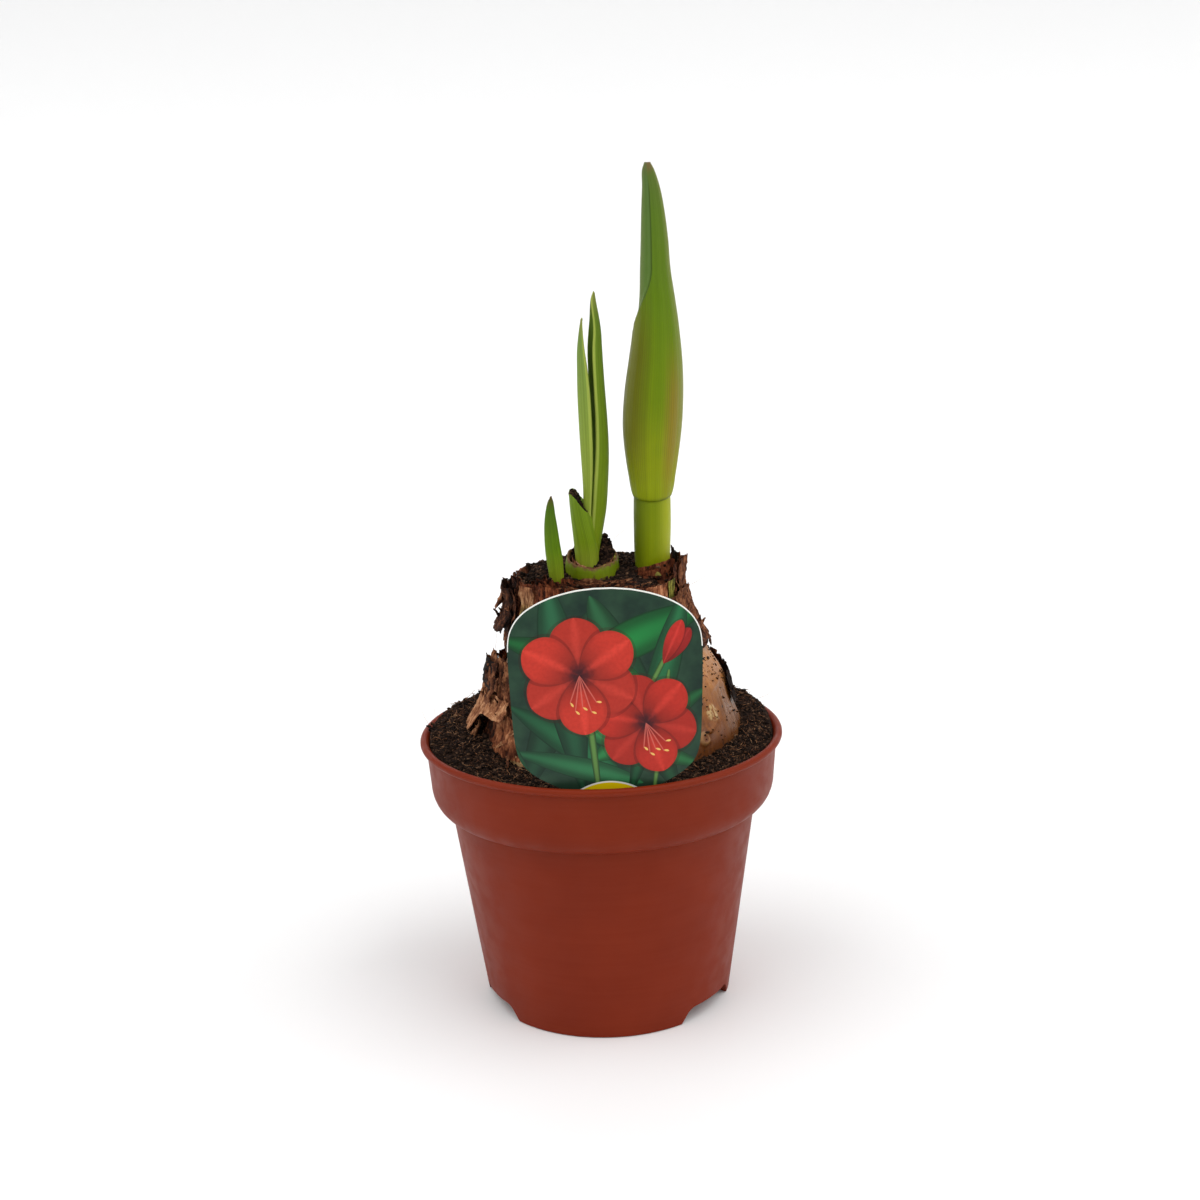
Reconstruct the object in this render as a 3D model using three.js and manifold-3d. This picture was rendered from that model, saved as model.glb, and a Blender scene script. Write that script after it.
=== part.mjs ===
// A potted amaryllis coming into growth: a big bulb half out of its potting mix in a thin plastic pot,
// with one fat flower bud on its stalk, a pair of young leaves beside a cut leaf base, a small side
// shoot, the dry torn scales round the bulb and its neck, and a plastic plant label.
// Millimetres, +Z up. The origin is the middle of the pot's underside, on the surface that it stands on.
// The front, where the label stands, faces -Y. Angles are in degrees, anticlockwise from +X seen from above.

import * as THREE from "three";
import { ParametricGeometry } from "three/addons/geometries/ParametricGeometry.js";
import { ImprovedNoise } from "three/addons/math/ImprovedNoise.js";
import { mergeGeometries, mergeVertices } from "three/addons/utils/BufferGeometryUtils.js";
import Module from "manifold-3d";

const wasm = await Module();
wasm.setup();

// Driving dimensions

const CLEARANCE = 0.3; // between two pieces that touch

const POT = {
  rimRadius: 65,
  height: 99.25,
  wall: 1.2,
  lipDrop: 2.9, // height of the flared lip
  lipReach: 2.1, // how far the lip stands out from the band under it
  bandFoot: 73.6, // height of the band's lower edge
  bandTurn: 82.3, // height where the band's wall starts to turn in
  bandTurnRadius: 61.8,
  bodyTopRadius: 55.1,
  floorHeight: 6.2,
  footRadius: 44.9,
  footThickness: 1.5, // of the ring that the pot stands on
  feet: 3,
  gapAngle: 83.75, // where the first gap between two feet is
  gapFootWidth: 37, // degrees, at the ground
  gapTopWidth: 29, // degrees, at the gap's top
  gapHeight: 5.6,
  drainHoles: 6,
  drainRadius: 3.2,
  drainCircle: 33,
  sides: 56,
};

// Height, radius and sideways shift of the bulb, from its basal plate to its cut nose.
const BULB = [
  [40, 12, 3],
  [48, 27, 3.5],
  [58, 35.5, 4],
  [70, 41.5, 4.4],
  [82, 44.2, 4.6],
  [94, 45, 4.7],
  [102, 44.4, 4.7],
  [110, 41.6, 4.6],
  [120, 38.8, 4.3],
  [130, 34.6, 3],
  [140, 30, 1.2],
  [150, 25.5, 0],
];
const BULB_SIDES = 40;
const NOSE_TOP = 150;
const PIT_FLOOR = 146.5; // how deep the shoots are rooted in the nose
const ROOTS = { count: 5, radius: 1.9, startCircle: 9, reach: 25, drop: 26, sides: 5, rows: 4 };

// The mix is heaped round the bulb and falls off to the wall, further out at the right and the back.
const SOIL = {
  edge: 96.8, // height at the front of the wall
  bank: { rise: 2.2, from: -18, to: 34 }, // slow rise from front to back
  heap: { rise: 4.6, from: -46, to: 15, fallStart: 52, fallEnd: 64 },
  rightSpread: 5, // how much further out the heap reaches at the right
  leftSpread: 2.5,
  frontLeftHeap: 2.6,
  lump: 1.1,
  lumpSize: 4.2,
  foot: 7.8,
  topRadii: [58.3, 55.6, 52.9, 50.2, 47.5, 44, 40, 0],
  sides: 56,
};
// The crumbs among the shoots: radii of their rings, height, and how they rise to the back and the right.
const NOSE_MIX = {
  radii: [0, 23.6, 24.2, 22, 18.5, 15, 11.5, 7, 0],
  height: 155.2,
  backRise: 3.4,
  rightRise: 0.8,
  edgeDrop: 1.4,
  crumb: 0.8,
  sides: 32,
};
// The crumbs in the old leaf base, heaped against its taller back.
const RING_MIX = { frontTop: 158.8, backTop: 168.4, crumb: 0.7, sides: 24 };

// Height, middle and half width across X of the flower stalk and of the bud, as far as the bud's tip.
const STALK = { centre: [20.3, 0], depthRatio: 0.9, sides: 20, rows: 5 };
const STALK_ROWS = [
  [PIT_FLOOR + CLEARANCE, 20.1, 5.6],
  [156, 20.1, 5.95],
  [164, 20.1, 6.3],
  [172, 20.3, 6.5],
  [182, 20.5, 6.45],
];
const BUD_ROWS = [
  [182.3, 20.55, 6.5],
  [184.5, 20.65, 7.1],
  [189, 20.7, 7.85],
  [196, 20.8, 9.0],
  [203, 21.0, 9.85],
  [210, 21.35, 10.3],
  [220.3, 22.1, 10.1],
  [230.5, 22.85, 9.2],
  [240, 23.3, 8.1],
  [251, 23.45, 6.6],
  [261, 23.1, 5.6],
  [271, 23.1, 5.0],
  [281, 22.85, 4.15],
  [288, 22.5, 3.25],
  [293.5, 21.9, 2.15],
  [296.2, 21.7, 1.0],
];
const BUD = {
  depthRatio: 0.88,
  sides: 20,
  rows: 21,
  fold: 0.15, // how far the skin sinks behind the edge of the outer sheath leaf
  foldWidth: 24,
  foldLowAngle: 176,
  foldHighAngle: 262,
};

// Height, X of the front margin, X of the bulge, Y of the middle and half depth of the two leaves.
const RIGHT_LEAF = [
  [153, -2.2, 0.6, 0.6, 1.5],
  [163, -1.6, 1.2, 0.6, 2.2],
  [172, -1.2, 2.9, 0.7, 2.5],
  [180, -0.9, 4.2, 0.7, 2.9],
  [190, -0.5, 4.85, 0.6, 4.0],
  [200, -0.1, 5.1, 0.5, 4.5],
  [211, -0.1, 4.75, 0.4, 4.4],
  [224, -0.3, 4.1, 0.4, 3.9],
  [235, -0.3, 3.7, 0.4, 3.2],
  [245, 0.7, 3.4, 0.4, 2.2],
  [251.5, 1.3, 2.95, 0.4, 1.1],
  [254.5, 2.3, 2.7, 0.4, 0.35],
];
const LEFT_LEAF = [
  [156, -2.9, -4.4, 0.9, 1.2],
  [170, -2.2, -4.6, 0.9, 1.7],
  [183, -1.6, -3.6, 0.9, 2.4],
  [190, -1.1, -3.7, 0.9, 3.0],
  [200, -0.6, -4.15, 0.9, 3.6],
  [211, -0.55, -4.4, 0.9, 3.8],
  [220, -0.75, -4.4, 0.9, 3.6],
  [228, -1.0, -4.1, 0.9, 3.1],
  [235, -1.6, -3.75, 0.9, 2.4],
  [241.5, -1.7, -2.9, 0.9, 1.3],
  [245.7, -1.7, -2.1, 0.9, 0.35],
];
const LEAF = { rib: 1.3, margin: 0.7, across: 6, along: 16 };

// The cut leaf base that holds the two leaves: height, middle X and outer radius.
const STUB_ROWS = [
  [PIT_FLOOR + CLEARANCE, -2.7, 4.3],
  [160, -2.75, 4.2],
  [166, -2.95, 4.3],
  [172, -3.45, 4.25],
  [179, -4.2, 4.05],
  [186, -4.7, 3.9],
];
const STUB_Y = 0.4;
const STUB = {
  wall: 1.1,
  cutLeft: 185.2,
  cutRight: 178.6,
  from: 60,
  to: 345,
  toAtTop: 322,
  grownAngle: 8, // how far each edge turns when the stub is swollen to cut its clearance
};

// The green ring of an older leaf base round the middle shoot, cut off on the slant.
const SHEATH = { centre: [-1.1, 0.4], radius: 9.3, wall: 1.5, frontTop: 160.2, backTop: 165.6, sides: 28 };

// Height, middle X, half width and half depth of the small side shoot.
const SIDE_SHOOT_ROWS = [
  [PIT_FLOOR + CLEARANCE, -13.2, 2.2, 2.4],
  [158, -13.6, 2.55, 2.7],
  [164, -14.1, 2.85, 2.7],
  [169, -14.6, 2.7, 2.5],
  [175.5, -14.95, 2.3, 2.1],
  [180, -15.0, 1.75, 1.6],
  [183.5, -14.8, 1.2, 1.1],
  [186.2, -14.5, 0.45, 0.5],
];
const SIDE_SHOOT_Y = -10;

// Height and half width of the label's plate and its stake.
const LABEL_OUTLINE = [
  [58, 1.5],
  [63, 5],
  [88, 6.5],
  [93.5, 8],
  [96.5, 12.5],
  [99.5, 18.4],
  [103, 24.2],
  [107, 28],
  [112, 29.8],
  [120, 30.6],
  [144, 31.4],
  [149, 31.1],
  [152.5, 30],
  [156, 27.6],
  [159.2, 23.6],
  [162.2, 17],
  [164.2, 9],
  [164.8, 3],
];
// Height and Y of the label's middle, which stands behind the rim and slants in under the band.
const LABEL_LEAN = [
  [58, -47],
  [66, -48.6],
  [73, -50.9],
  [81, -54.8],
  [90, -57.6],
  [98, -58.9],
  [120, -59.4],
  [145, -58.6],
  [165, -57.4],
];
const LABEL = { middle: 2.1, thickness: 0.7, along: 26 };

// Dry scales of the neck, outside the ragged wall: start and end angle, start and end offset from the
// bulb, foot and top heights, how far the torn top goes up and down, and how far it curls outwards.
const NECK_FLAKES = [
  { from: 168, to: 214, offset: [4.4, 6.0], foot: 142, top: 154.6, torn: 2.6, flare: 2.6 },
  { from: 194, to: 240, offset: [2.0, 2.6], foot: 137, top: 157.4, torn: 2.2, flare: -1.0 },
  { from: 336, to: 388, offset: [2.6, 3.8], foot: 138, top: 162.6, torn: 2.4, flare: 0.6 },
  { from: 322, to: 372, offset: [1.5, 3.6], foot: 133, top: 150.5, torn: 3.4, flare: 3.0 },
  { from: 214, to: 262, offset: [1.6, 3.0], foot: 133, top: 151.0, torn: 3.0, flare: 1.4 },
  { from: 60, to: 118, offset: [1.6, 3.2], foot: 134, top: 153.0, torn: 3.2, flare: 2.0 },
];
// Edges of older scales that show as curved ridges across the nose: radius, angles and top height.
const NOSE_RIDGES = [
  { radius: 22.6, from: 192, to: 326, top: 156.2 },
  { radius: 19.1, from: 206, to: 330, top: 156.6 },
  { radius: 15.6, from: 218, to: 332, top: 156.6 },
  { radius: 22.2, from: 96, to: 152, top: 156.8 },
];
const NECK = {
  foot: 131,
  inner: 0.5,
  outer: 1.7,
  capTop: 153.4,
  wallTop: 157.2,
  frontDrop: 2.4, // how much lower the wall's torn top is at the front
  torn: 1.7,
  sides: 44,
};
const STALK_SCALE = { radius: 8.4, from: 176, to: 352, top: 159.4 };

// Torn skins round the bulb's sides: the same measures as the neck's scales, over the shared skin.
const LEFT_TUNIC = {
  skin: { from: 172, to: 240, foot: 92, top: 125, stand: [2.6, 0.8] },
  flakes: [
    { from: 176, to: 206, offset: [3.4, 6.0], foot: 112, top: 128.5, torn: 2.8, flare: 1.6 },
    { from: 192, to: 226, offset: [4.6, 2.2], foot: 110, top: 129.5, torn: 2.6, flare: 1.4 },
    { from: 170, to: 205, offset: [4.0, 3.4], foot: 107, top: 118, torn: 1.8, flare: -4.8 },
    { from: 188, to: 222, offset: [3.2, 1.8], foot: 106.5, top: 117, torn: 2.4, flare: -3.2 },
    { from: 212, to: 240, offset: [1.9, 0.9], foot: 103, top: 120, torn: 3.0, flare: 0.8 },
  ],
};
const BACK_TUNIC = {
  skin: { from: 22, to: 166, foot: 92, top: 126, stand: [0.5, 2.2] },
  flakes: [
    { from: 12, to: 48, offset: [1.4, 1.0], foot: 108, top: 122.5, torn: 2.6, flare: 0.6 },
    { from: 56, to: 100, offset: [0.9, 2.6], foot: 109, top: 127, torn: 3.2, flare: 2.2 },
    { from: 92, to: 140, offset: [2.4, 1.2], foot: 109, top: 121, torn: 2.0, flare: -2.4 },
    { from: 124, to: 164, offset: [1.6, 2.6], foot: 109, top: 126.5, torn: 3.2, flare: 2.0 },
  ],
};
const SCALE = { skin: 0.9, skinTorn: 1.6, flake: 0.8, neckFlake: 0.9, wave: 0.35, bulbRadius: 40 };

// Seeds of the torn edges
const SEED = { left: 1, back: 9, neck: 20 };

// Small helpers

const noise = new ImprovedNoise();
const radians = THREE.MathUtils.degToRad;
const mix = THREE.MathUtils.lerp;
const ramp = THREE.MathUtils.smoothstep;

// Reads a table of [position, value, value, ...] rows as a smooth curve through its rows.
function read(table, at) {
  const last = table.length - 1;
  const x = THREE.MathUtils.clamp(at, table[0][0], table[last][0]);
  let i = 1;
  while (i < last && table[i][0] < x) i += 1;
  const span = table[i][0] - table[i - 1][0];
  const t = (x - table[i - 1][0]) / span;
  const slope = (k, column) => {
    const low = table[Math.max(k - 1, 0)];
    const high = table[Math.min(k + 1, last)];
    return (high[column] - low[column]) / (high[0] - low[0]);
  };
  return table[i].slice(1).map((end, n) => {
    const column = n + 1;
    const start = table[i - 1][column];
    const rise = span * (t * (1 - t) ** 2 * slope(i - 1, column) - t * t * (1 - t) * slope(i, column));
    return mix(start, end, t * t * (3 - 2 * t)) + rise;
  });
}

// A surface of rows of points, closed by a pole at each end or by its last row lying on its first;
// point(turn, row, target) places each one.
function closedSurface(sides, rows, point) {
  const place = (u, v, target) => {
    const side = Math.round(u * sides) % sides;
    point((side / sides) * 2 * Math.PI, Math.round(v * rows), target);
  };
  return new ParametricGeometry(place, sides, rows);
}

// A thin plate with two faces and four edges; point(s, t, k, target) has k 0 on one face and 1 on the other.
function plate(across, along, point) {
  const patch = (order, slices, stacks) =>
    new ParametricGeometry((u, v, target) => point(...order(u, v), target), slices, stacks);
  return mergeGeometries([
    patch((u, v) => [u, v, 1], across, along),
    patch((u, v) => [v, u, 0], along, across),
    patch((u, v) => [1, u, v], along, 1),
    patch((u, v) => [0, v, u], 1, along),
    patch((u, v) => [v, 1, u], 1, across),
    patch((u, v) => [u, 0, v], across, 1),
  ]);
}

// A geometry as a solid: its shared vertices are merged, its collapsed faces dropped, its faces turned out.
function solid(geometry) {
  const loose = geometry.index ? geometry.toNonIndexed() : geometry;
  const bare = new THREE.BufferGeometry().setAttribute("position", loose.getAttribute("position"));
  const merged = mergeVertices(bare, 1e-4);
  const corners = merged.index.array;
  const build = (turned) => {
    const triVerts = [];
    for (let i = 0; i < corners.length; i += 3) {
      const [a, b, c] = [corners[i], corners[i + 1 + turned], corners[i + 2 - turned]];
      if (a !== b && b !== c && c !== a) triVerts.push(a, b, c);
    }
    const vertProperties = merged.attributes.position.array;
    const mesh = new wasm.Mesh({ numProp: 3, vertProperties, triVerts: Uint32Array.from(triVerts) });
    return new wasm.Manifold(mesh);
  };
  const made = build(0);
  return made.volume() > 0 ? made : build(1);
}

const join = (first, ...others) => others.reduce((sum, other) => sum.add(other), first);
const cut = (first, ...tools) => tools.reduce((rest, tool) => rest.subtract(tool), first);
const largest = (body) => body.decompose().sort((a, b) => b.volume() - a.volume())[0];

const model = new THREE.Group();

// Adds a solid to the model as a named mesh with its own material.
function add(name, body, color, roughness) {
  const { numProp, numVert, vertProperties, triVerts } = body.getMesh();
  const corners = new Float32Array(numVert * 3);
  for (let i = 0; i < numVert; i += 1) {
    corners.set(vertProperties.subarray(i * numProp, i * numProp + 3), i * 3);
  }
  const geometry = new THREE.BufferGeometry();
  geometry.setAttribute("position", new THREE.BufferAttribute(corners, 3));
  geometry.setIndex(new THREE.BufferAttribute(triVerts, 1));
  geometry.computeVertexNormals();
  const mesh = new THREE.Mesh(geometry, new THREE.MeshStandardMaterial({ color, roughness, metalness: 0 }));
  mesh.name = name;
  model.add(mesh);
}

// Pot

// The outer profile from the foot to the lip, as [radius, height], drawn in by inset.
function potWall(inset) {
  const turnIn = POT.bandTurnRadius - POT.bodyTopRadius - 0.6;
  const turnDown = POT.bandTurn - POT.bandFoot;
  const shoulder = [90, 45, 0].map((angle) => [
    POT.bandTurnRadius - turnIn * (1 - Math.cos(radians(angle))),
    POT.bandTurn - turnDown * Math.sin(radians(angle)),
  ]);
  const wall = [[POT.bodyTopRadius, POT.bandFoot - 0.2], ...shoulder];
  wall.push([POT.rimRadius - POT.lipReach, POT.height - POT.lipDrop - 0.4]);
  return wall.map(([radius, height]) => [radius - inset, height]);
}

// The gap between two feet: a block through the foot ring, wider at the ground than at its top.
function footGap(angle) {
  const { footRadius, gapFootWidth, gapTopWidth, gapHeight } = POT;
  const depth = 14;
  const foot = footRadius * Math.tan(radians(gapFootWidth / 2));
  const top = footRadius * Math.tan(radians(gapTopWidth / 2));
  const corners = [
    [-foot, -2],
    [foot, -2],
    [foot, 0],
    [top, gapHeight],
    [-top, gapHeight],
    [-foot, 0],
  ];
  const outline = new THREE.Shape(corners.map(([x, y]) => new THREE.Vector2(x, y)));
  const block = new THREE.ExtrudeGeometry(outline, { depth, bevelEnabled: false });
  block.rotateX(Math.PI / 2).rotateZ(Math.PI / 2).translate(footRadius - depth / 2, 0, 0);
  return solid(block.rotateZ(radians(angle)));
}

function drainHole(angle) {
  const { drainRadius, drainCircle, floorHeight } = POT;
  const drain = new THREE.CylinderGeometry(drainRadius, drainRadius, 8, 12).rotateX(Math.PI / 2);
  return solid(drain.translate(drainCircle, 0, floorHeight).rotateZ(radians(angle)));
}

function pot() {
  const { rimRadius, height, wall, floorHeight, footRadius, footThickness } = POT;
  const footEdge = footRadius - 0.9;
  const outside = [
    [0, floorHeight],
    [footRadius - wall - 0.3, floorHeight],
    [footEdge - footThickness, 0],
    [footEdge, 0],
    [footRadius, 0.8],
    ...potWall(0),
  ];
  const lip = [
    [rimRadius - 1.4, height - POT.lipDrop],
    [rimRadius, height - 1.9],
    [rimRadius, height - 0.9],
    [rimRadius - 1, height],
    [rimRadius - 2.3, height - 0.3],
  ];
  const inside = potWall(wall)
    .reverse()
    .concat([
      [footRadius - wall, floorHeight + wall],
      [0, floorHeight + wall],
    ]);
  const profile = [...outside, ...lip, ...inside].map(([radius, z]) => new THREE.Vector2(radius, z));
  const body = solid(new THREE.LatheGeometry(profile, POT.sides).rotateX(Math.PI / 2));
  const angle = (count, i) => POT.gapAngle + (360 / count) * i;
  const round = (count, make) => Array.from({ length: count }, (_, i) => make(angle(count, i)));
  return cut(body, ...round(POT.feet, footGap), ...round(POT.drainHoles, drainHole));
}

// Bulb

// A point at an angle and height, standing off the bulb's skin by an offset.
function onBulb(turn, height, offset, target) {
  const [radius, shift] = read(BULB, height);
  const swell = 1 + 0.012 * Math.sin(2 * turn + 0.7) + 0.008 * Math.sin(5 * turn + 2);
  const reach = radius * swell + offset;
  return target.set(shift + reach * Math.cos(turn), reach * Math.sin(turn), height);
}

// A tapered tube along a curve, for the roots.
function taperedTube(curve, startRadius, endRadius, sides, rows) {
  const frames = curve.computeFrenetFrames(rows);
  return closedSurface(sides, rows + 2, (turn, row, target) => {
    const step = THREE.MathUtils.clamp(row - 1, 0, rows);
    const open = row === 0 || row === rows + 2 ? 0 : 1;
    const radius = open * mix(startRadius, endRadius, step / rows);
    curve.getPointAt(step / rows, target);
    target.addScaledVector(frames.normals[step], radius * Math.cos(turn));
    target.addScaledVector(frames.binormals[step], radius * Math.sin(turn));
  });
}

function roots(grow) {
  const made = [];
  for (let i = 0; i < ROOTS.count; i += 1) {
    const angle = radians((360 / ROOTS.count) * i + 14 * Math.sin(3 * i));
    const reach = ROOTS.reach * (0.75 + 0.25 * Math.sin(5 * i + 1));
    const out = (distance, height, twist) =>
      new THREE.Vector3(2 + distance * Math.cos(angle + twist), distance * Math.sin(angle + twist), height);
    const foot = BULB[0][0] - ROOTS.drop * (0.8 + 0.2 * Math.cos(4 * i)) - grow;
    const curve = new THREE.CatmullRomCurve3([
      out(ROOTS.startCircle, BULB[0][0] + 3, 0),
      out(ROOTS.startCircle + 3, BULB[0][0] - 5, 0.1),
      out(reach * 0.8, (BULB[0][0] + foot) / 2, 0.3),
      out(reach + grow, foot, 0.15),
    ]);
    const [startRadius, endRadius] = [ROOTS.radius + grow, ROOTS.radius * 0.6 + grow];
    made.push(solid(taperedTube(curve, startRadius, endRadius, ROOTS.sides, ROOTS.rows)));
  }
  return made;
}

// The whole bulb with its roots, before the shoots' pits are cut; grow swells it evenly.
function bulbBody(grow) {
  const last = BULB.length - 1;
  const rows = BULB.map(([height], i) => height + grow * (i === last) - grow * (i === 0));
  const body = closedSurface(BULB_SIDES, rows.length + 1, (turn, row, target) => {
    const height = rows[THREE.MathUtils.clamp(row - 1, 0, rows.length - 1)];
    onBulb(turn, height, grow, target);
    if (row === 0 || row === rows.length + 1) target.set(read(BULB, height)[1], 0, height);
  });
  return join(solid(body), ...roots(grow));
}

// Shoots

// A body of stacked oval rows: rows hold height, middle X, half width and half depth; Y is fixed.
function ovalBody(rows, y, grow, sides, steps, shape = () => 1) {
  const foot = rows[0][0] - grow;
  const top = rows.at(-1)[0] + grow;
  return solid(
    closedSurface(sides, steps + 2, (turn, row, target) => {
      const step = THREE.MathUtils.clamp(row - 1, 0, steps) / steps;
      const height = mix(foot, top, step);
      const [middle, halfWidth, halfDepth] = read(rows, height);
      const open = row === 0 || row === steps + 2 ? 0 : shape(turn, height);
      target.set(
        middle + open * (halfWidth + grow) * Math.cos(turn),
        y + open * (halfDepth + grow) * Math.sin(turn),
        height,
      );
    }),
  );
}

const withDepth = (rows, ratio) => rows.map(([height, middle, half]) => [height, middle, half, half * ratio]);

const stalk = (grow) =>
  ovalBody(withDepth(STALK_ROWS, STALK.depthRatio), STALK.centre[1], grow, STALK.sides, STALK.rows);

// The angle, at each height, of the edge of the sheath leaf that wraps over the other one.
function budFoldAngle(height) {
  return radians(mix(BUD.foldLowAngle, BUD.foldHighAngle, ramp(height, 236, 262)));
}

// The bud's skin sinks behind the edge of its outer sheath leaf, which runs down from the tip.
function budShape(turn, height) {
  const behind = THREE.MathUtils.euclideanModulo(budFoldAngle(height) - turn, 2 * Math.PI);
  const fades = ramp(height, 228, 246) * (1 - ramp(height, 288, 296));
  const sunk = ramp(behind, 0, radians(BUD.foldWidth)) * (1 - ramp(behind, radians(80), radians(200)));
  return 1 - BUD.fold * sunk * fades;
}

const bud = () =>
  ovalBody(withDepth(BUD_ROWS, BUD.depthRatio), STALK.centre[1], 0, BUD.sides, BUD.rows, budShape);

// A young leaf folded lengthwise: its two margins are at the front and back, its rib bulges sideways.
function leaf(rows) {
  const outward = Math.sign(rows[4][2] - rows[4][1]);
  const geometry = plate(LEAF.across, LEAF.along, (s, t, k, target) => {
    const height = mix(rows[0][0], rows.at(-1)[0], t);
    const [marginX, bulgeX, middleY, halfDepth] = read(rows, height);
    const bend = mix(-90, 90, s);
    const slim = 1 - ramp(t, 0.8, 1) * 0.45;
    const half = (mix(LEAF.margin, LEAF.rib, Math.cos(radians(bend))) / 2) * slim;
    const lift = (k ? half : -half) + half * 0.2;
    const bulge = Math.max(Math.abs(bulgeX - marginX) - half, 0.1);
    target.set(
      marginX + outward * ((bulge + lift) * Math.cos(radians(bend))),
      middleY + (halfDepth + lift) * Math.sin(radians(bend)),
      height,
    );
  });
  return solid(geometry);
}

// The cut leaf base: a gutter that is open at the right, cut off on the slant.
function stub(grow) {
  const geometry = plate(12, 6, (s, t, k, target) => {
    const end = mix(STUB.to, STUB.toAtTop, ramp(t, 0.45, 1)) + grow * STUB.grownAngle;
    const angle = radians(mix(STUB.from - grow * STUB.grownAngle, end, s));
    const side = (1 + Math.cos(angle)) / 2;
    const cutTop = mix(STUB.cutLeft, STUB.cutRight, ramp(side, 0.02, 0.85)) + grow;
    const height = mix(STUB_ROWS[0][0] - grow, cutTop, t);
    const [middle, radius] = read(STUB_ROWS, height);
    const reach = k ? radius + grow : radius - STUB.wall - grow;
    target.set(middle + reach * Math.cos(angle), STUB_Y + reach * Math.sin(angle), height);
  });
  return solid(geometry);
}

// The ring of an older leaf base, higher at the back.
function sheath() {
  const [x, y] = SHEATH.centre;
  const outer = SHEATH.radius;
  const inner = outer - SHEATH.wall;
  const foot = PIT_FLOOR + CLEARANCE;
  const rows = [
    [inner, 0],
    [outer - 0.9, 0],
    [outer, 0.45],
    [outer + 0.2, 0.75],
    [outer - 0.35, 1],
    [inner + 0.2, 1],
  ];
  return solid(
    closedSurface(SHEATH.sides, rows.length, (turn, row, target) => {
      const [radius, share] = rows[row % rows.length];
      const top = mix(SHEATH.frontTop, SHEATH.backTop, (1 + Math.sin(turn)) / 2);
      const lift = share * (top - foot) + (share === 1 ? 0.5 * Math.sin(5 * turn) : 0);
      target.set(x + radius * Math.cos(turn), y + radius * Math.sin(turn), foot + lift);
    }),
  );
}

const sideShoot = (grow) => ovalBody(SIDE_SHOOT_ROWS, SIDE_SHOOT_Y, grow, 12, 8);

// Dry scales

// One torn scale over the bulb's skin, between two angles, with a ragged top and a flare off the bulb.
function scale(shape, seed, thickness, degreesPerStep) {
  const { from, to, offset, foot, top, torn, flare } = shape;
  const across = Math.round((to - from) / degreesPerStep);
  const geometry = plate(across, 2, (s, t, k, target) => {
    const angle = radians(mix(from, to, s));
    const tear = noise.noise(s * across * 0.55, seed * 7.3, 0.5) + 0.7 * Math.sin(across * s * 2.1 + seed);
    const rag = torn * tear;
    const low = foot + (flare < 0 ? 0.6 * rag : 0);
    const height = mix(low, top + rag, t);
    const stand = mix(offset[0], offset[1], s);
    const curl = flare >= 0 ? flare * t * t : -flare * (1 - t) ** 2;
    const wave = SCALE.wave * (noise.noise(s * across * 0.45, t * 3, seed * 3.1) + 1);
    onBulb(angle, height, stand + curl + wave + k * thickness, target);
  });
  return solid(geometry);
}

// A plain skin that lies close on the bulb and carries the torn flakes of one side.
function skin({ from, to, foot, top, stand }, seed, grow) {
  const steps = Math.round((to - from) / 9);
  const pad = THREE.MathUtils.radToDeg(grow / SCALE.bulbRadius);
  const geometry = plate(steps, 5, (s, t, k, target) => {
    const angle = radians(mix(from - pad, to + pad, s));
    const rag = SCALE.skinTorn * noise.noise(s * steps * 0.6, seed * 5.1, 0.2);
    const height = mix(foot - grow, top + rag + grow, t);
    const offset = mix(stand[0], stand[1], s) * ramp(t, 0.1, 0.6) + 0.5;
    onBulb(angle, height, offset + (k ? SCALE.skin + grow : -grow), target);
  });
  return solid(geometry);
}

function tunic(shape, seed) {
  const flakes = shape.flakes.map((flake, i) => scale(flake, seed + i, SCALE.flake, 4.4));
  return join(skin(shape.skin, seed, 0), ...flakes);
}

// A curved ridge across the nose: the cut edge of an older scale.
function ridge({ radius, from, to, top }, seed) {
  const steps = Math.round((to - from) / 11);
  return solid(
    plate(steps, 1, (s, t, k, target) => {
      const angle = radians(mix(from, to, s));
      const rag = 0.9 * noise.noise(s * steps * 0.7, seed * 3.7, 0);
      const reach = radius + (k ? 1.1 : 0) + 0.5 * noise.noise(s * steps * 0.4, 9, seed);
      const ends = 1 - (2 * s - 1) ** 6;
      const high = mix(NECK.capTop - 0.4, top + rag, ends);
      target.set(reach * Math.cos(angle), reach * Math.sin(angle), mix(NECK.capTop - 1.5, high, t));
    }),
  );
}

// The cap over the nose and the ragged wall round the neck, which carry the neck's other scales.
function neckWall() {
  const { foot, inner, outer, capTop, wallTop, frontDrop, torn, sides } = NECK;
  const rows = [
    [NOSE_TOP + CLEARANCE, 0],
    [NOSE_TOP + CLEARANCE, inner],
    [(foot + NOSE_TOP) / 2, inner],
    [foot, inner],
    [foot, outer],
    [(foot + NOSE_TOP) / 2, outer],
    [NOSE_TOP, outer + 0.5],
    [wallTop, outer + 0.7],
    [wallTop, outer - 0.4],
    [capTop, outer - 0.9],
    [capTop, 0],
  ];
  return solid(
    closedSurface(sides, rows.length - 1, (turn, row, target) => {
      const [height, offset] = rows[row];
      const atTop = height === wallTop;
      const tear = noise.noise(3 * Math.cos(turn), 3 * Math.sin(turn), 1) + 0.35 * Math.sin(10 * turn);
      const rag = torn * tear;
      onBulb(turn, height, offset + (atTop ? 0.6 * Math.sin(7 * turn) : 0), target);
      if (row === 0 || row === rows.length - 1) target.set(0, 0, 0);
      target.z = height + (atTop ? rag - frontDrop * ramp(-Math.sin(turn), 0.1, 0.7) : 0);
    }),
  );
}

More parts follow.
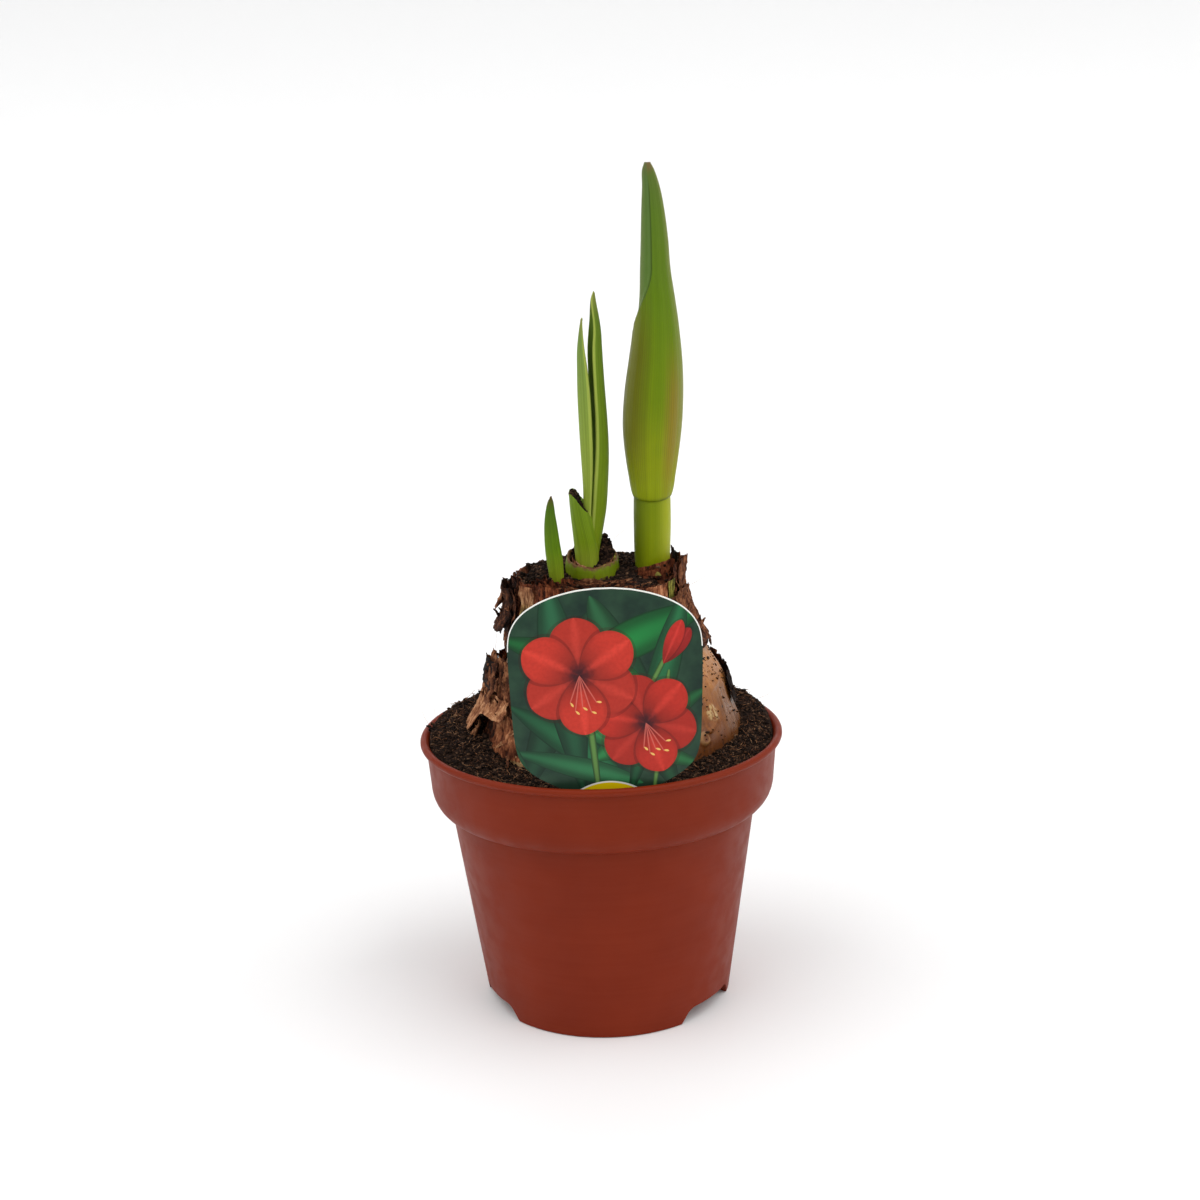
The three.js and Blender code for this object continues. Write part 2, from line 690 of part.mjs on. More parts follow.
// The papery scale that wraps the front of the flower stalk's foot.
function stalkScale() {
  const { radius, from, to, top } = STALK_SCALE;
  return solid(
    plate(12, 2, (s, t, k, target) => {
      const angle = radians(mix(from, to, s));
      const rag = 1.3 * noise.noise(s * 6, 2.2, 0) + 0.5 * Math.sin(13 * s);
      const height = mix(NECK.capTop - 1.5, top + rag, t);
      const reach = radius + (k ? 0.9 : 0) + 0.8 * t * noise.noise(s * 5, 0, t * 2);
      target.set(STALK.centre[0] + reach * Math.cos(angle), reach * Math.sin(angle), height);
    }),
  );
}

function neckScales() {
  const flakes = NECK_FLAKES.map((flake, i) => scale(flake, SEED.neck + i, SCALE.neckFlake, 6));
  return join(neckWall(), ...flakes, ...NOSE_RIDGES.map(ridge), stalkScale());
}

// Potting mix

// Height of the mix in the pot: banked up behind the bulb, lower in front of it, and crumbly.
function soilHeight(x, y) {
  const { edge, bank, heap, rightSpread, leftSpread, frontLeftHeap, lump, lumpSize } = SOIL;
  const radius = Math.hypot(x, y);
  const right = ramp(x, 10, 40) * ramp(y, -4, 14);
  const left = ramp(-x, 20, 45) * ramp(y, -16, -4);
  const spread = rightSpread * right + leftSpread * left;
  const falls = ramp(radius, heap.fallStart + spread, heap.fallEnd + spread);
  const banked = bank.rise * ramp(y, bank.from, bank.to);
  const heaped = heap.rise * ramp(y, heap.from, heap.to) * (1 - falls);
  const frontLeft = ramp(-x, 16, 40) * ramp(y, -38, -22) * (1 - ramp(y, -10, 10));
  const crumbs = noise.noise(x / lumpSize, y / lumpSize, 4) + 0.5 * noise.noise(x, y, 8);
  const atWall = 1 - 0.7 * ramp(radius, 58, 62);
  const lower = frontLeftHeap * frontLeft * (1 - ramp(radius, 48, 62));
  return edge + banked + heaped + lower + lump * crumbs * atWall;
}

function soilFill() {
  const inset = POT.wall + CLEARANCE;
  const wall = potWall(inset).slice(0, -1);
  const edgeRadius = POT.bandTurnRadius + 0.9 - inset;
  const sides = [[0, SOIL.foot], [POT.footRadius - inset - 1, SOIL.foot], ...wall];
  const topRadii = [edgeRadius, ...SOIL.topRadii];
  const rows = sides.length + topRadii.length - 1;
  return solid(
    closedSurface(SOIL.sides, rows, (turn, row, target) => {
      const onTop = row - sides.length;
      const radius = onTop < 0 ? sides[row][0] : topRadii[onTop];
      const [x, y] = [radius * Math.cos(turn), radius * Math.sin(turn)];
      target.set(x, y, onTop < 0 ? sides[row][1] : soilHeight(x, y));
    }),
  );
}

// The crumbs that lie on the nose among the shoots, heaped at the back.
function noseMix() {
  const { radii, height, backRise, rightRise, edgeDrop, crumb, sides } = NOSE_MIX;
  return solid(
    closedSurface(sides, radii.length - 1, (turn, row, target) => {
      const [x, y] = [radii[row] * Math.cos(turn), radii[row] * Math.sin(turn)];
      const crumbs = noise.noise(x / 3, y / 3, 1) + 0.5 * noise.noise(x, y, 2);
      const risen = height + backRise * ramp(y, -12, 8) + rightRise * ramp(x, 4, 12);
      const heap = risen - edgeDrop * ramp(radii[row], 19, 24) + crumb * crumbs;
      const rim = row === 2 ? NECK.capTop + 0.9 : heap;
      target.set(x, y, row < 2 ? NECK.capTop + CLEARANCE : rim);
    }),
  );
}

function sheathMix() {
  const { frontTop, backTop, crumb, sides } = RING_MIX;
  const [x0, y0] = SHEATH.centre;
  const edge = SHEATH.radius - SHEATH.wall - CLEARANCE;
  const radii = [0, edge, edge, edge - 2.2, 0];
  return solid(
    closedSurface(sides, radii.length - 1, (turn, row, target) => {
      const [x, y] = [radii[row] * Math.cos(turn), radii[row] * Math.sin(turn)];
      const crumbs = noise.noise(x / 1.6, y / 1.6, 5) + 0.5 * noise.noise(x, y, 6);
      const heap = mix(frontTop, backTop, ramp(y - 0.3 * Math.abs(x - 4), -6, 6)) + crumb * crumbs;
      target.set(x0 + x, y0 + y, row < 2 ? PIT_FLOOR + CLEARANCE : heap);
    }),
  );
}

// Label

function label(grow) {
  const foot = LABEL_OUTLINE[0][0] - grow;
  const top = LABEL_OUTLINE.at(-1)[0] + grow;
  return solid(
    plate(1, LABEL.along, (s, t, k, target) => {
      const eased = t < 0.5 ? mix(0, 0.55, t * 2) : mix(0.55, 1, Math.sin(((t - 0.5) * Math.PI)));
      const height = mix(foot, top, eased);
      const half = read(LABEL_OUTLINE, height)[0] + grow;
      const side = k ? 1 : -1;
      const lean = read(LABEL_LEAN, height)[0] + side * (LABEL.thickness / 2 + grow);
      target.set(LABEL.middle + mix(-half, half, s), lean, height);
    }),
  );
}

// The pieces, each cut clear of what it stands in or round

// A plain round hole for a shoot, from its foot up.
function pit(radius, [x, y], foot) {
  const height = 30;
  const bore = new THREE.CylinderGeometry(radius, radius, height, 28).rotateX(Math.PI / 2);
  return solid(bore.translate(x, y, foot + height / 2));
}

// The room that the nose's ridges and the stalk's scale need among the crumbs.
function ridgeRoom() {
  const rooms = NOSE_RIDGES.map(({ radius, from, to, top }) => ({
    centre: [0, 0],
    inner: radius - 0.9,
    outer: radius + 2,
    from,
    to,
    top: top + 1.4,
  }));
  const { radius, from, to, top } = STALK_SCALE;
  rooms.push({ centre: STALK.centre, inner: radius - 2, outer: radius + 2.1, from, to, top: top + 3 });
  return rooms.map((room) =>
    solid(
      plate(10, 1, (s, t, k, target) => {
        const angle = radians(mix(room.from - 4, room.to + 4, s));
        const reach = k ? room.outer : room.inner;
        const [x, y] = room.centre;
        const height = mix(NECK.capTop - 2, room.top, t);
        target.set(x + reach * Math.cos(angle), y + reach * Math.sin(angle), height);
      }),
    ),
  );
}

const ringPit = pit(SHEATH.radius + CLEARANCE, SHEATH.centre, PIT_FLOOR);
const middlePit = pit(STUB_ROWS[0][2] + CLEARANCE, [STUB_ROWS[0][1], STUB_Y], PIT_FLOOR - 1);
const shootHoles = [stalk(CLEARANCE), sideShoot(CLEARANCE), ringPit];
const swollenBulb = bulbBody(CLEARANCE);

add("pot", pot(), 0x94452f, 0.45);
add(
  "potting_mix",
  largest(
    cut(
      soilFill(),
      swollenBulb,
      skin(LEFT_TUNIC.skin, SEED.left, CLEARANCE),
      skin(BACK_TUNIC.skin, SEED.back, CLEARANCE),
      label(CLEARANCE),
    ),
  ),
  0x2e1f18,
  0.95,
);
add("bulb", cut(bulbBody(0), ...shootHoles), 0xa8794b, 0.45);
add("bulb_tunic_left", tunic(LEFT_TUNIC, SEED.left), 0x6d4531, 0.85);
add("bulb_tunic_back", tunic(BACK_TUNIC, SEED.back), 0x5a3827, 0.85);
add("neck_scales", largest(cut(neckScales(), ...shootHoles)), 0x6a4030, 0.85);
add("nose_mix", largest(cut(noseMix(), ...shootHoles, ...ridgeRoom())), 0x2e1f18, 0.95);
add("leaf_base_ring", sheath(), 0x7d8a2c, 0.5);
add("leaf_base_mix", largest(cut(sheathMix(), middlePit)), 0x2e1f18, 0.95);
add("cut_leaf_base", stub(0), 0x6f8f35, 0.45);
add("leaf_right", largest(cut(leaf(RIGHT_LEAF), stub(CLEARANCE))), 0x5c7c2a, 0.45);
add("leaf_left", largest(cut(leaf(LEFT_LEAF), stub(CLEARANCE))), 0x7f9a4a, 0.45);
add("side_shoot", sideShoot(0), 0x55762a, 0.45);
add("flower_stalk", stalk(0), 0x75851f, 0.4);
add("flower_bud", bud(), 0x7c8a2a, 0.4);
add("plant_label", label(0), 0x3a5c41, 0.35);

export default model;
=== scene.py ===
# The looks of a potted amaryllis: its moulded pot, crumbly potting mix, scaly bulb with torn dry skins,
# young shoots, flower bud and plant label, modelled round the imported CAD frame.
# Shapes are worked out in millimetres, with the front at -Y, and scaled to metres as each piece is finished.

import math
import random
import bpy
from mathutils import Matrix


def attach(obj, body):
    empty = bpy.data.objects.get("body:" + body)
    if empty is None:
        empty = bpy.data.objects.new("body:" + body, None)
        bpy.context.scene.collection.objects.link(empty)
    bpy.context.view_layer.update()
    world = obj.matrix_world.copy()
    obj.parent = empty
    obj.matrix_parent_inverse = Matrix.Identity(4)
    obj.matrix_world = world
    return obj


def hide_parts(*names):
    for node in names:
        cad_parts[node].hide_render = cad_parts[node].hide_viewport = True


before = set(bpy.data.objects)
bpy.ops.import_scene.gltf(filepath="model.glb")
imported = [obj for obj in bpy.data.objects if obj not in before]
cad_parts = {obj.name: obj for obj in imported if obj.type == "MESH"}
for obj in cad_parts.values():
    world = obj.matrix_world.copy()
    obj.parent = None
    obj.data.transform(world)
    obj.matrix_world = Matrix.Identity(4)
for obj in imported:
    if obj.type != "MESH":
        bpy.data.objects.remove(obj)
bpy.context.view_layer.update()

from types import SimpleNamespace

import bmesh
import bpy
from mathutils import Matrix, Vector, noise
from mathutils.bvhtree import BVHTree

MM = 0.001

# Measures shared with the CAD model

POT = SimpleNamespace(
    rim_radius=65.0,
    height=99.25,
    wall=1.2,
    band_foot=73.6,
    band_turn=82.3,
    band_turn_radius=61.8,
    body_top_radius=55.1,
    band_top=(62.9, 95.95),
    floor_height=6.2,
    foot_radius=44.9,
    feet=3,
    gap_angle=83.75,
    gap_foot_width=37.0,
    gap_top_width=29.0,
    gap_height=5.6,
    gap_corner=2.2,
    drain_holes=6,
    drain_radius=3.2,
    drain_circle=33.0,
    sides=192,
)

# Height, radius and sideways shift of the bulb, from its basal plate to its cut nose.
BULB = [
    (40, 12, 3),
    (48, 27, 3.5),
    (58, 35.5, 4),
    (70, 41.5, 4.4),
    (82, 44.2, 4.6),
    (94, 45, 4.7),
    (102, 44.4, 4.7),
    (110, 41.6, 4.6),
    (120, 38.8, 4.3),
    (130, 34.6, 3),
    (140, 30, 1.2),
    (150, 25.5, 0),
]
NOSE = SimpleNamespace(top=150.0, pit_floor=146.5, cap=153.4)
SOIL = SimpleNamespace(edge=96.8, foot=7.8, lump=1.1, lump_size=4.2)

# Height, middle and half width of the flower stalk and of the bud.
STALK = SimpleNamespace(x=20.3, y=0.0, depth=0.9)
STALK_ROWS = [
    (146.8, 20.1, 5.6),
    (156, 20.1, 5.95),
    (164, 20.1, 6.3),
    (172, 20.3, 6.5),
    (182, 20.5, 6.45),
    (187, 20.6, 6.1),
]
BUD_ROWS = [
    (182.3, 20.55, 6.7),
    (184.5, 20.65, 7.5),
    (189, 20.7, 8.1),
    (196, 20.8, 9.0),
    (203, 21.0, 9.85),
    (210, 21.35, 10.3),
    (220.3, 22.1, 10.1),
    (230.5, 22.85, 9.2),
    (240, 23.3, 8.1),
    (251, 23.45, 6.6),
    (261, 23.1, 5.6),
    (271, 23.1, 5.0),
    (281, 22.85, 4.15),
    (288, 22.5, 3.25),
    (293.5, 21.9, 2.15),
    (296.2, 21.7, 1.0),
]
BUD = SimpleNamespace(depth=0.88, fold=0.15, fold_width=24.0, fold_low=176.0, fold_high=262.0, foot_rise=4.2)

# Height, X of the front margin, X of the bulge, Y of the middle and half depth of the two leaves.
RIGHT_LEAF = [
    (153, -2.2, 0.6, 0.6, 1.5),
    (163, -1.6, 1.2, 0.6, 2.2),
    (172, -1.2, 2.9, 0.7, 2.5),
    (180, -0.9, 4.2, 0.7, 2.9),
    (190, -0.5, 4.85, 0.6, 4.0),
    (200, -0.1, 5.1, 0.5, 4.5),
    (211, -0.1, 4.75, 0.4, 4.4),
    (224, -0.3, 4.1, 0.4, 3.9),
    (235, -0.3, 3.7, 0.4, 3.2),
    (245, 0.7, 3.4, 0.4, 2.2),
    (251.5, 1.3, 2.95, 0.4, 1.1),
    (254.5, 2.3, 2.7, 0.4, 0.35),
]
LEFT_LEAF = [
    (156, -2.7, -4.4, 0.9, 1.2),
    (170, -1.5, -4.4, 0.4, 1.9),
    (183, -0.6, -3.4, -0.2, 2.8),
    (190, -0.1, -3.4, -0.4, 3.4),
    (200, 0.35, -3.75, -0.5, 4.1),
    (211, 0.35, -4.05, -0.5, 4.3),
    (220, 0.1, -4.15, -0.4, 3.9),
    (228, -0.5, -4.0, 0.0, 3.3),
    (235, -1.3, -3.75, 0.4, 2.4),
    (241.5, -1.7, -2.9, 0.9, 1.3),
    (245.7, -1.7, -2.1, 0.9, 0.35),
]
LEAF = SimpleNamespace(rib=1.3, margin=0.7, right_twist=1.7, left_twist=0.0)

# The cut leaf base that holds the two leaves: height, middle X and outer radius.
STUB_ROWS = [
    (146.8, -2.7, 4.3),
    (160, -2.75, 4.2),
    (166, -2.95, 4.3),
    (172, -3.45, 4.25),
    (179, -4.2, 4.05),
    (186, -4.7, 3.9),
]
STUB = SimpleNamespace(
    y=0.4, wall=1.1, filled=3.5, cut_left=185.2, cut_right=178.6, back_rise=2.4,
    start=60.0, end=345.0, end_at_top=322.0,
)

RING = SimpleNamespace(x=-1.1, y=0.4, radius=9.3, wall=1.5, front_top=160.2, back_top=165.6)

# Height, middle X, half width and half depth of the small side shoot.
SIDE_SHOOT_ROWS = [
    (146.8, -13.2, 2.2, 2.4),
    (158, -13.6, 2.55, 2.7),
    (164, -14.1, 2.85, 2.7),
    (169, -14.6, 2.7, 2.5),
    (175.5, -14.95, 2.3, 2.1),
    (180, -15.0, 1.75, 1.6),
    (183.5, -14.8, 1.2, 1.1),
    (186.2, -14.5, 0.45, 0.5),
]
SIDE_SHOOT_Y = -10.0

# Height and half width of the label's plate and its stake.
LABEL_OUTLINE = [
    (58, 1.5),
    (63, 5),
    (88, 6.5),
    (93.5, 8),
    (96.5, 12.5),
    (99.5, 18.4),
    (103, 24.2),
    (107, 28),
    (112, 29.8),
    (120, 30.6),
    (144, 31.4),
    (149, 31.1),
    (152.5, 30),
    (156, 27.6),
    (159.2, 23.6),
    (162.2, 17),
    (164.2, 9),
    (164.8, 3),
]
LABEL_LEAN = [
    (58, -47),
    (66, -48.6),
    (73, -50.9),
    (81, -54.8),
    (90, -57.6),
    (98, -58.9),
    (120, -59.4),
    (145, -58.6),
    (165, -57.4),
]
LABEL = SimpleNamespace(middle=2.1, thickness=0.7, border=0.34, line_height=0.06, line_start=0.7)

# How a crumpled flake is folded: how deep, and how far apart the folds are in millimetres
FINE_FOLDS = {"folds": 1.2, "fold_size": 2.4}
DEEP_FOLDS = {"folds": 1.3, "fold_size": 2.6}

# Dry scales, each with its start and end angle, start and end offset from the bulb, foot and top
# heights, how far its torn top goes up and down, and how far it curls outwards.
NECK_FLAKES = [
    ((166, 205, 4.8, 5.6, 141, 154.6, 1.8, 2.2), {"tone": 0.12, "folds": 1.3}),
    ((168, 208, 3.0, 4.0, 139, 154.8, 1.6, 1.6), {"tone": 0.16, "folds": 1.2}),
    ((172, 206, 1.6, 2.6, 138, 156.6, 1.6, 1.2), {"tone": 0.2, "hue": (0.5, 0.5)}),
    ((167, 190, 6.6, 7.2, 146, 152.5, 0.8, -1.6), {"tone": 0.4, **FINE_FOLDS}),
    ((176, 204, 5.4, 5.6, 140, 148, 1.2, -2.0), {"tone": 0.16, "folds": 1.2}),
    ((194, 240, 2.0, 2.6, 137, 157.4, 1.8, -1.0), {"tone": 0.3, "hue": (1, 1)}),
    ((211, 223, 3.8, 3.0, 145, 156.6, 0.4, 0.7), {"tone": 0.56, "hue": (-0.7, 0.4), "folds": 0.5}),
    ((222, 262, 2.4, 3.2, 146, 157.4, 1.4, 0.6), {"tone": 0.36, "hue": (1, 1), "fold_size": 2.2}),
    ((214, 262, 1.6, 3.0, 133, 151.0, 2.4, 1.4), {"tone": 0.35, "hue": (0.6, 0.6)}),
    ((336, 388, 2.6, 3.8, 138, 161.6, 1.8, 0.6), {"tone": 0.22, "hue": (0.5, 0.5), "folds": 1.2}),
    ((341, 360, 4.2, 4.8, 148, 162.6, 0.8, 0.6), {"tone": 0.3, "hue": (0.4, 0.4), **FINE_FOLDS}),
    ((332, 355, 4.0, 5.0, 141, 152.5, 1.0, 1.2), {"tone": 0.34, "hue": (0.5, 0.3), **FINE_FOLDS}),
    ((322, 372, 1.5, 3.6, 133, 150.5, 2.4, 3.0), {"tone": 0.32, "hue": (0.4, 0.4)}),
    ((306, 331, 3.0, 2.8, 145, 155.6, 0.6, 0.4), {"tone": 0.72, "hue": (0.8, 0.6), "folds": 0.5}),
    ((328, 337, 3.5, 3.5, 145, 156.2, 0.5, 0.4), {"tone": 0.5, "hue": (-1, -0.9), "folds": 0.3}),
    ((60, 118, 1.6, 3.2, 134, 153.0, 2.6, 2.0), {"tone": 0.35, "hue": (0.4, 0.4)}),
]
LEFT_FLAKES = [
    ((176, 206, 3.4, 6.0, 112, 128.5, 2.2, 1.6), {"tone": 0.36, "hue": (0.4, 0.3), **DEEP_FOLDS}),
    ((192, 226, 4.6, 2.2, 110, 131.5, 2.2, 1.4), {"tone": 0.36, "hue": (0.6, 0.3), **DEEP_FOLDS}),
    ((185, 202, 6.8, 6.2, 120.5, 129.5, 0.7, 0.6), {"tone": -0.15, "folds": 0.6}),
    ((172, 217, 6.0, 4.4, 103, 118.5, 1.0, -2.8), {"tone": 0.68, "hue": (0.4, 0.4), "lift": 9.5}),
    ((188, 222, 3.2, 1.8, 111.5, 118, 1.4, 0.0), {"tone": 0.15, "hue": (0.5, 0.5)}),
    ((209, 227, 3.4, 2.2, 99.5, 113, 1.0, 0.6), {"tone": 0.52, "hue": (0.7, 0.5), "fold_size": 2.2}),
    ((217, 229, 2.2, 1.8, 93, 101, 0.8, 0.2), {"tone": 0.8, "hue": (-0.5, -0.2), "folds": 0.5}),
    ((212, 240, 1.9, 0.9, 103, 120, 2.4, 0.8), {"tone": 0.35}),
]
BACK_FLAKES = [
    ((352, 378, 0.8, 2.4, 109, 120.0, 0.7, 0.6), {"tone": -0.2, "folds": 0.5}),
    ((12, 48, 1.4, 1.0, 108, 122.5, 2.2, 0.6), {"tone": 0.1}),
    ((56, 100, 0.9, 2.6, 109, 127, 2.6, 2.2), {"tone": 0.45}),
    ((92, 140, 2.4, 1.2, 109, 121, 1.8, -2.4), {"tone": 0.6, "hue": (0.5, 0.2)}),
    ((124, 164, 1.6, 2.6, 109, 126.5, 2.6, 2.0), {"tone": 0.35}),
]
# The skin inside the cavity under the left hood, toned dark as painted shade.
LEFT_SKIN_IN_PAINTED_SHADE = ((172, 240, 2.6, 0.8, 92, 125, 2.4, 0.0), {"tone": 0.12, "hue": (0.6, 0.4), "fold_size": 4.5})
BACK_SKIN = ((22, 166, 0.5, 2.2, 92, 126, 2.4, 0.0), {"tone": 0.4, "hue": (0.4, 0.4), "fold_size": 5})
# Edges of older scales that show as curved ridges across the nose: radius, angles and top height.
NOSE_RIDGES = [
    (22.6, 192, 326, 156.2),
    (19.1, 206, 330, 156.6),
    (15.6, 218, 332, 156.6),
    (22.2, 96, 152, 156.8),
]
NECK = SimpleNamespace(foot=131.0, inner=0.5, outer=1.7, wall_top=157.2, front_drop=2.4, torn=1.7)
STALK_SCALE = SimpleNamespace(radius=7.3, start=196.0, end=356.0, top=158.8, top_end=163.0)

# The photograph's camera, found from the pot's rim, band and foot: radians, and pixels of its frame.
CAMERA = SimpleNamespace(distance=585.93, height=291.85, pitch=0.243, yaw=0.002, roll=-0.033, focal=1705.3)
FRAME_PIXELS = 1200
SENSOR = 36.0

# How wide each soft lamp is in the sky, in degrees
SOFTNESS = 70.0

# Millimetres along the bulb's skin for each degree round it
DEGREE_ON_SKIN = 0.72

# How many loose grains lie on each part, and how many loose fibres on the mix and on the neck
GRAINS = SimpleNamespace(front=8600, on_bulb=900, back=1900, on_nose=3200, on_stub=420)
FIBRE_COUNT = SimpleNamespace(on_mix=1100, on_neck=50)


# Small helpers


def mix(start, end, share):
    return start + (end - start) * share


def ramp(value, low, high):
    share = min(max((value - low) / (high - low), 0.0), 1.0)
    return share * share * (3 - 2 * share)


def read(table, at):
    """Reads a table of (position, value, ...) rows as a smooth curve through its rows."""
    last = len(table) - 1
    x = min(max(at, table[0][0]), table[last][0])
    i = 1
    while i < last and table[i][0] < x:
        i += 1
    before, after = table[i - 1], table[i]
    span = after[0] - before[0]
    t = (x - before[0]) / span
    lower, upper = table[max(i - 2, 0)], table[min(i + 1, last)]
    values = []
    for column in range(1, len(before)):
        slope_in = (after[column] - lower[column]) / (after[0] - lower[0])
        slope_out = (upper[column] - before[column]) / (upper[0] - before[0])
        rise = span * (t * (1 - t) ** 2 * slope_in - t * t * (1 - t) * slope_out)
        values.append(mix(before[column], after[column], t * t * (3 - 2 * t)) + rise)
    return values


def grain(x, y, z=0.0):
    return noise.noise(Vector((x, y, z)))


def crumple(spot, size, depth, layers=3):
    """Creases like those of crushed paper: sharp ridges between shallow hollows."""
    total = 0.0
    for layer in range(layers):
        fold = 2.0**layer
        wave = noise.noise(spot * (fold / size) + Vector((layer * 7.3, 0, 0)))
        total += depth / fold * (0.55 - abs(2.2 * wave))
    return total


def ragged(x, seed):
    """How far a torn edge stands up at x, between about -1 and 1, with a few sharp corners."""
    slow = grain(x * 0.23, seed, 0.5)
    quick = grain(x * 0.65, seed, 3.1)
    corner = max(0.0, grain(x * 1.5, seed, 6.2)) ** 2
    return 0.9 * slow + 0.45 * quick + 0.8 * corner


# Meshes


def placed_grid(columns, rows, place, closed=False):
    """A grid whose points are placed by a rule of their shares across and along.

    A closed one runs round: its first and last columns meet. The point attribute "lie" keeps where each
    point lies on the surface: the cosine and sine of the turn and the share along, or the two shares. A
    rule may instead give its own three numbers for it, after the point."""
    shape = bmesh.new()
    bmesh.ops.create_grid(shape, x_segments=columns, y_segments=rows, size=0.5)
    lie = shape.verts.layers.float_vector.new("lie")
    for vert in shape.verts:
        s, t = vert.co.x + 0.5, vert.co.y + 0.5
        turn = 2 * math.pi * s
        made = place(turn if closed else s, t)
        own = (math.cos(turn), math.sin(turn), t) if closed else (s, t, 0.0)
        vert.co, vert[lie] = made if isinstance(made, tuple) else (made, own)
    if closed:
        bmesh.ops.remove_doubles(shape, verts=shape.verts[:], dist=1e-4)
        bmesh.ops.dissolve_degenerate(shape, edges=shape.edges[:], dist=1e-5)
        bmesh.ops.recalc_face_normals(shape, faces=shape.faces[:])
    return shape


def mark_all(shape, numbers):
    """Gives every point of a small shape the same three numbers in "lie", which its colour follows."""
    lie = shape.verts.layers.float_vector["lie"]
    for vert in shape.verts:
        vert[lie] = numbers


class Heap:
    """Collects many small shapes in one mesh."""

    def __init__(self):
        self.shape = bmesh.new()
        self.shape.verts.layers.float_vector.new("lie")

    def add(self, part, matrix=None):
        mesh = bpy.data.meshes.new("part")
        part.to_mesh(mesh)
        part.free()
        if matrix:
            mesh.transform(matrix)
        self.shape.from_mesh(mesh)
        bpy.data.meshes.remove(mesh)

    def scatter(self, template, matrix):
        template.transform(matrix)
        self.shape.from_mesh(template)
        template.transform(matrix.inverted())


def finished(name, shape, material, slot, *replaced, smooth=True, sharp=None, more_materials=()):
    """Makes an object of a shape, in metres, and gives it its body, its finish and what it stands for."""
    mesh = bpy.data.meshes.new(name)
    bmesh.ops.scale(shape, vec=(MM, MM, MM), verts=shape.verts[:])
    for face in shape.faces:
        face.smooth = smooth
    shape.to_mesh(mesh)
    shape.free()
    if sharp:
        mesh.set_sharp_from_angle(angle=math.radians(sharp))
    piece = bpy.data.objects.new(name, mesh)
    bpy.context.scene.collection.objects.link(piece)
    for finish in (material, *more_materials):
        mesh.materials.append(finish)
    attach(piece, "root")
    if replaced:
        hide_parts(*replaced)
    return piece


def ground(*shapes):
    """Trees of the finished shapes, for finding what lies under a point."""
    return [BVHTree.FromBMesh(shape) for shape in shapes]


def settle(trees, x, y, above=320.0):
    """The highest point under (x, y) and the normal there, or None."""
    best = None
    for tree in trees:
        spot, normal, _, _ = tree.ray_cast(Vector((x, y, above)), Vector((0, 0, -1)))
        if spot and (best is None or spot.z > best[0].z):
            best = (spot, normal)
    return best


# Materials


def tint(red, green, blue):
    """A colour given as it looks on a screen, 0 to 255, as the linear colour that shaders use."""
    linear = []
    for level in (red, green, blue):
        share = level / 255
        linear.append(share / 12.92 if share <= 0.04045 else ((share + 0.055) / 1.055) ** 2.4)
    return (*linear, 1.0)


class Shading:
    """Short ways to place and join the nodes of a material or a node group."""

    def __init__(self, tree):
        self.tree = tree

    def place(self, kind, **settings):
        node = self.tree.nodes.new(kind)
        for name, value in settings.items():
            setattr(node, name, value)
        return node

    def feed(self, socket, value):
        if isinstance(value, bpy.types.NodeSocket):
            self.tree.links.new(value, socket)
        elif value is not None:
            socket.default_value = value

    def math(self, operation, first, second=None, third=None, clamp=False):
        node = self.place("ShaderNodeMath", operation=operation, use_clamp=clamp)
        for socket, value in zip(node.inputs, (first, second, third)):
            self.feed(socket, value)
        return node.outputs[0]

    def scale(self, vector, factors):
        node = self.place("ShaderNodeVectorMath", operation="MULTIPLY")
        self.feed(node.inputs[0], vector)
        self.feed(node.inputs[1], factors)
        return node.outputs[0]

    def distance(self, vector, spot):
        node = self.place("ShaderNodeVectorMath", operation="DISTANCE")
        self.feed(node.inputs[0], vector)
        self.feed(node.inputs[1], spot)
        return node.outputs["Value"]

    def split(self, vector):
        node = self.place("ShaderNodeSeparateXYZ")
        self.feed(node.inputs[0], vector)
        return node.outputs

    def join(self, x, y, z):
        node = self.place("ShaderNodeCombineXYZ")
        for socket, value in zip(node.inputs, (x, y, z)):
            self.feed(socket, value)
        return node.outputs[0]

    def noise(self, vector, size, detail=3.0, roughness=0.5, distortion=0.0):
        node = self.place("ShaderNodeTexNoise")
        self.feed(node.inputs["Vector"], vector)
        self.feed(node.inputs["Scale"], 1 / size)
        self.feed(node.inputs["Detail"], detail)
        self.feed(node.inputs["Roughness"], roughness)
        self.feed(node.inputs["Distortion"], distortion)
        return node.outputs["Fac"]

    def cells(self, vector, size, output="Distance", feature="F1"):
        node = self.place("ShaderNodeTexVoronoi", feature=feature)
        self.feed(node.inputs["Vector"], vector)
        self.feed(node.inputs["Scale"], 1 / size)
        return node.outputs[output]

    def between(self, value, low, high, start=0.0, end=1.0, smooth=True):
        node = self.place("ShaderNodeMapRange", interpolation_type="SMOOTHSTEP" if smooth else "LINEAR")
        numbers = {"Value": value, "From Min": low, "From Max": high, "To Min": start, "To Max": end}
        for name, number in numbers.items():
            self.feed(node.inputs[name], number)
        return node.outputs[0]

    def colours(self, share, *stops):
        node = self.place("ShaderNodeValToRGB")
        self.feed(node.inputs[0], share)
        elements = node.color_ramp.elements
        while len(elements) < len(stops):
            elements.new(0.5)
        for element, (position, colour) in zip(elements, stops):
            element.position = position
            element.color = colour
        return node.outputs[0]

    def blend(self, share, first, second, mode="MIX"):
        node = self.place("ShaderNodeMix", data_type="RGBA", blend_type=mode)
        self.feed(node.inputs[0], share)
        self.feed(node.inputs[6], first)
        self.feed(node.inputs[7], second)
        return node.outputs[2]

    def use(self, group, **values):
        node = self.place("ShaderNodeGroup", node_tree=group)
        for name, value in values.items():
            self.feed(node.inputs[name.replace("_", " ").capitalize()], value)
        return node.outputs


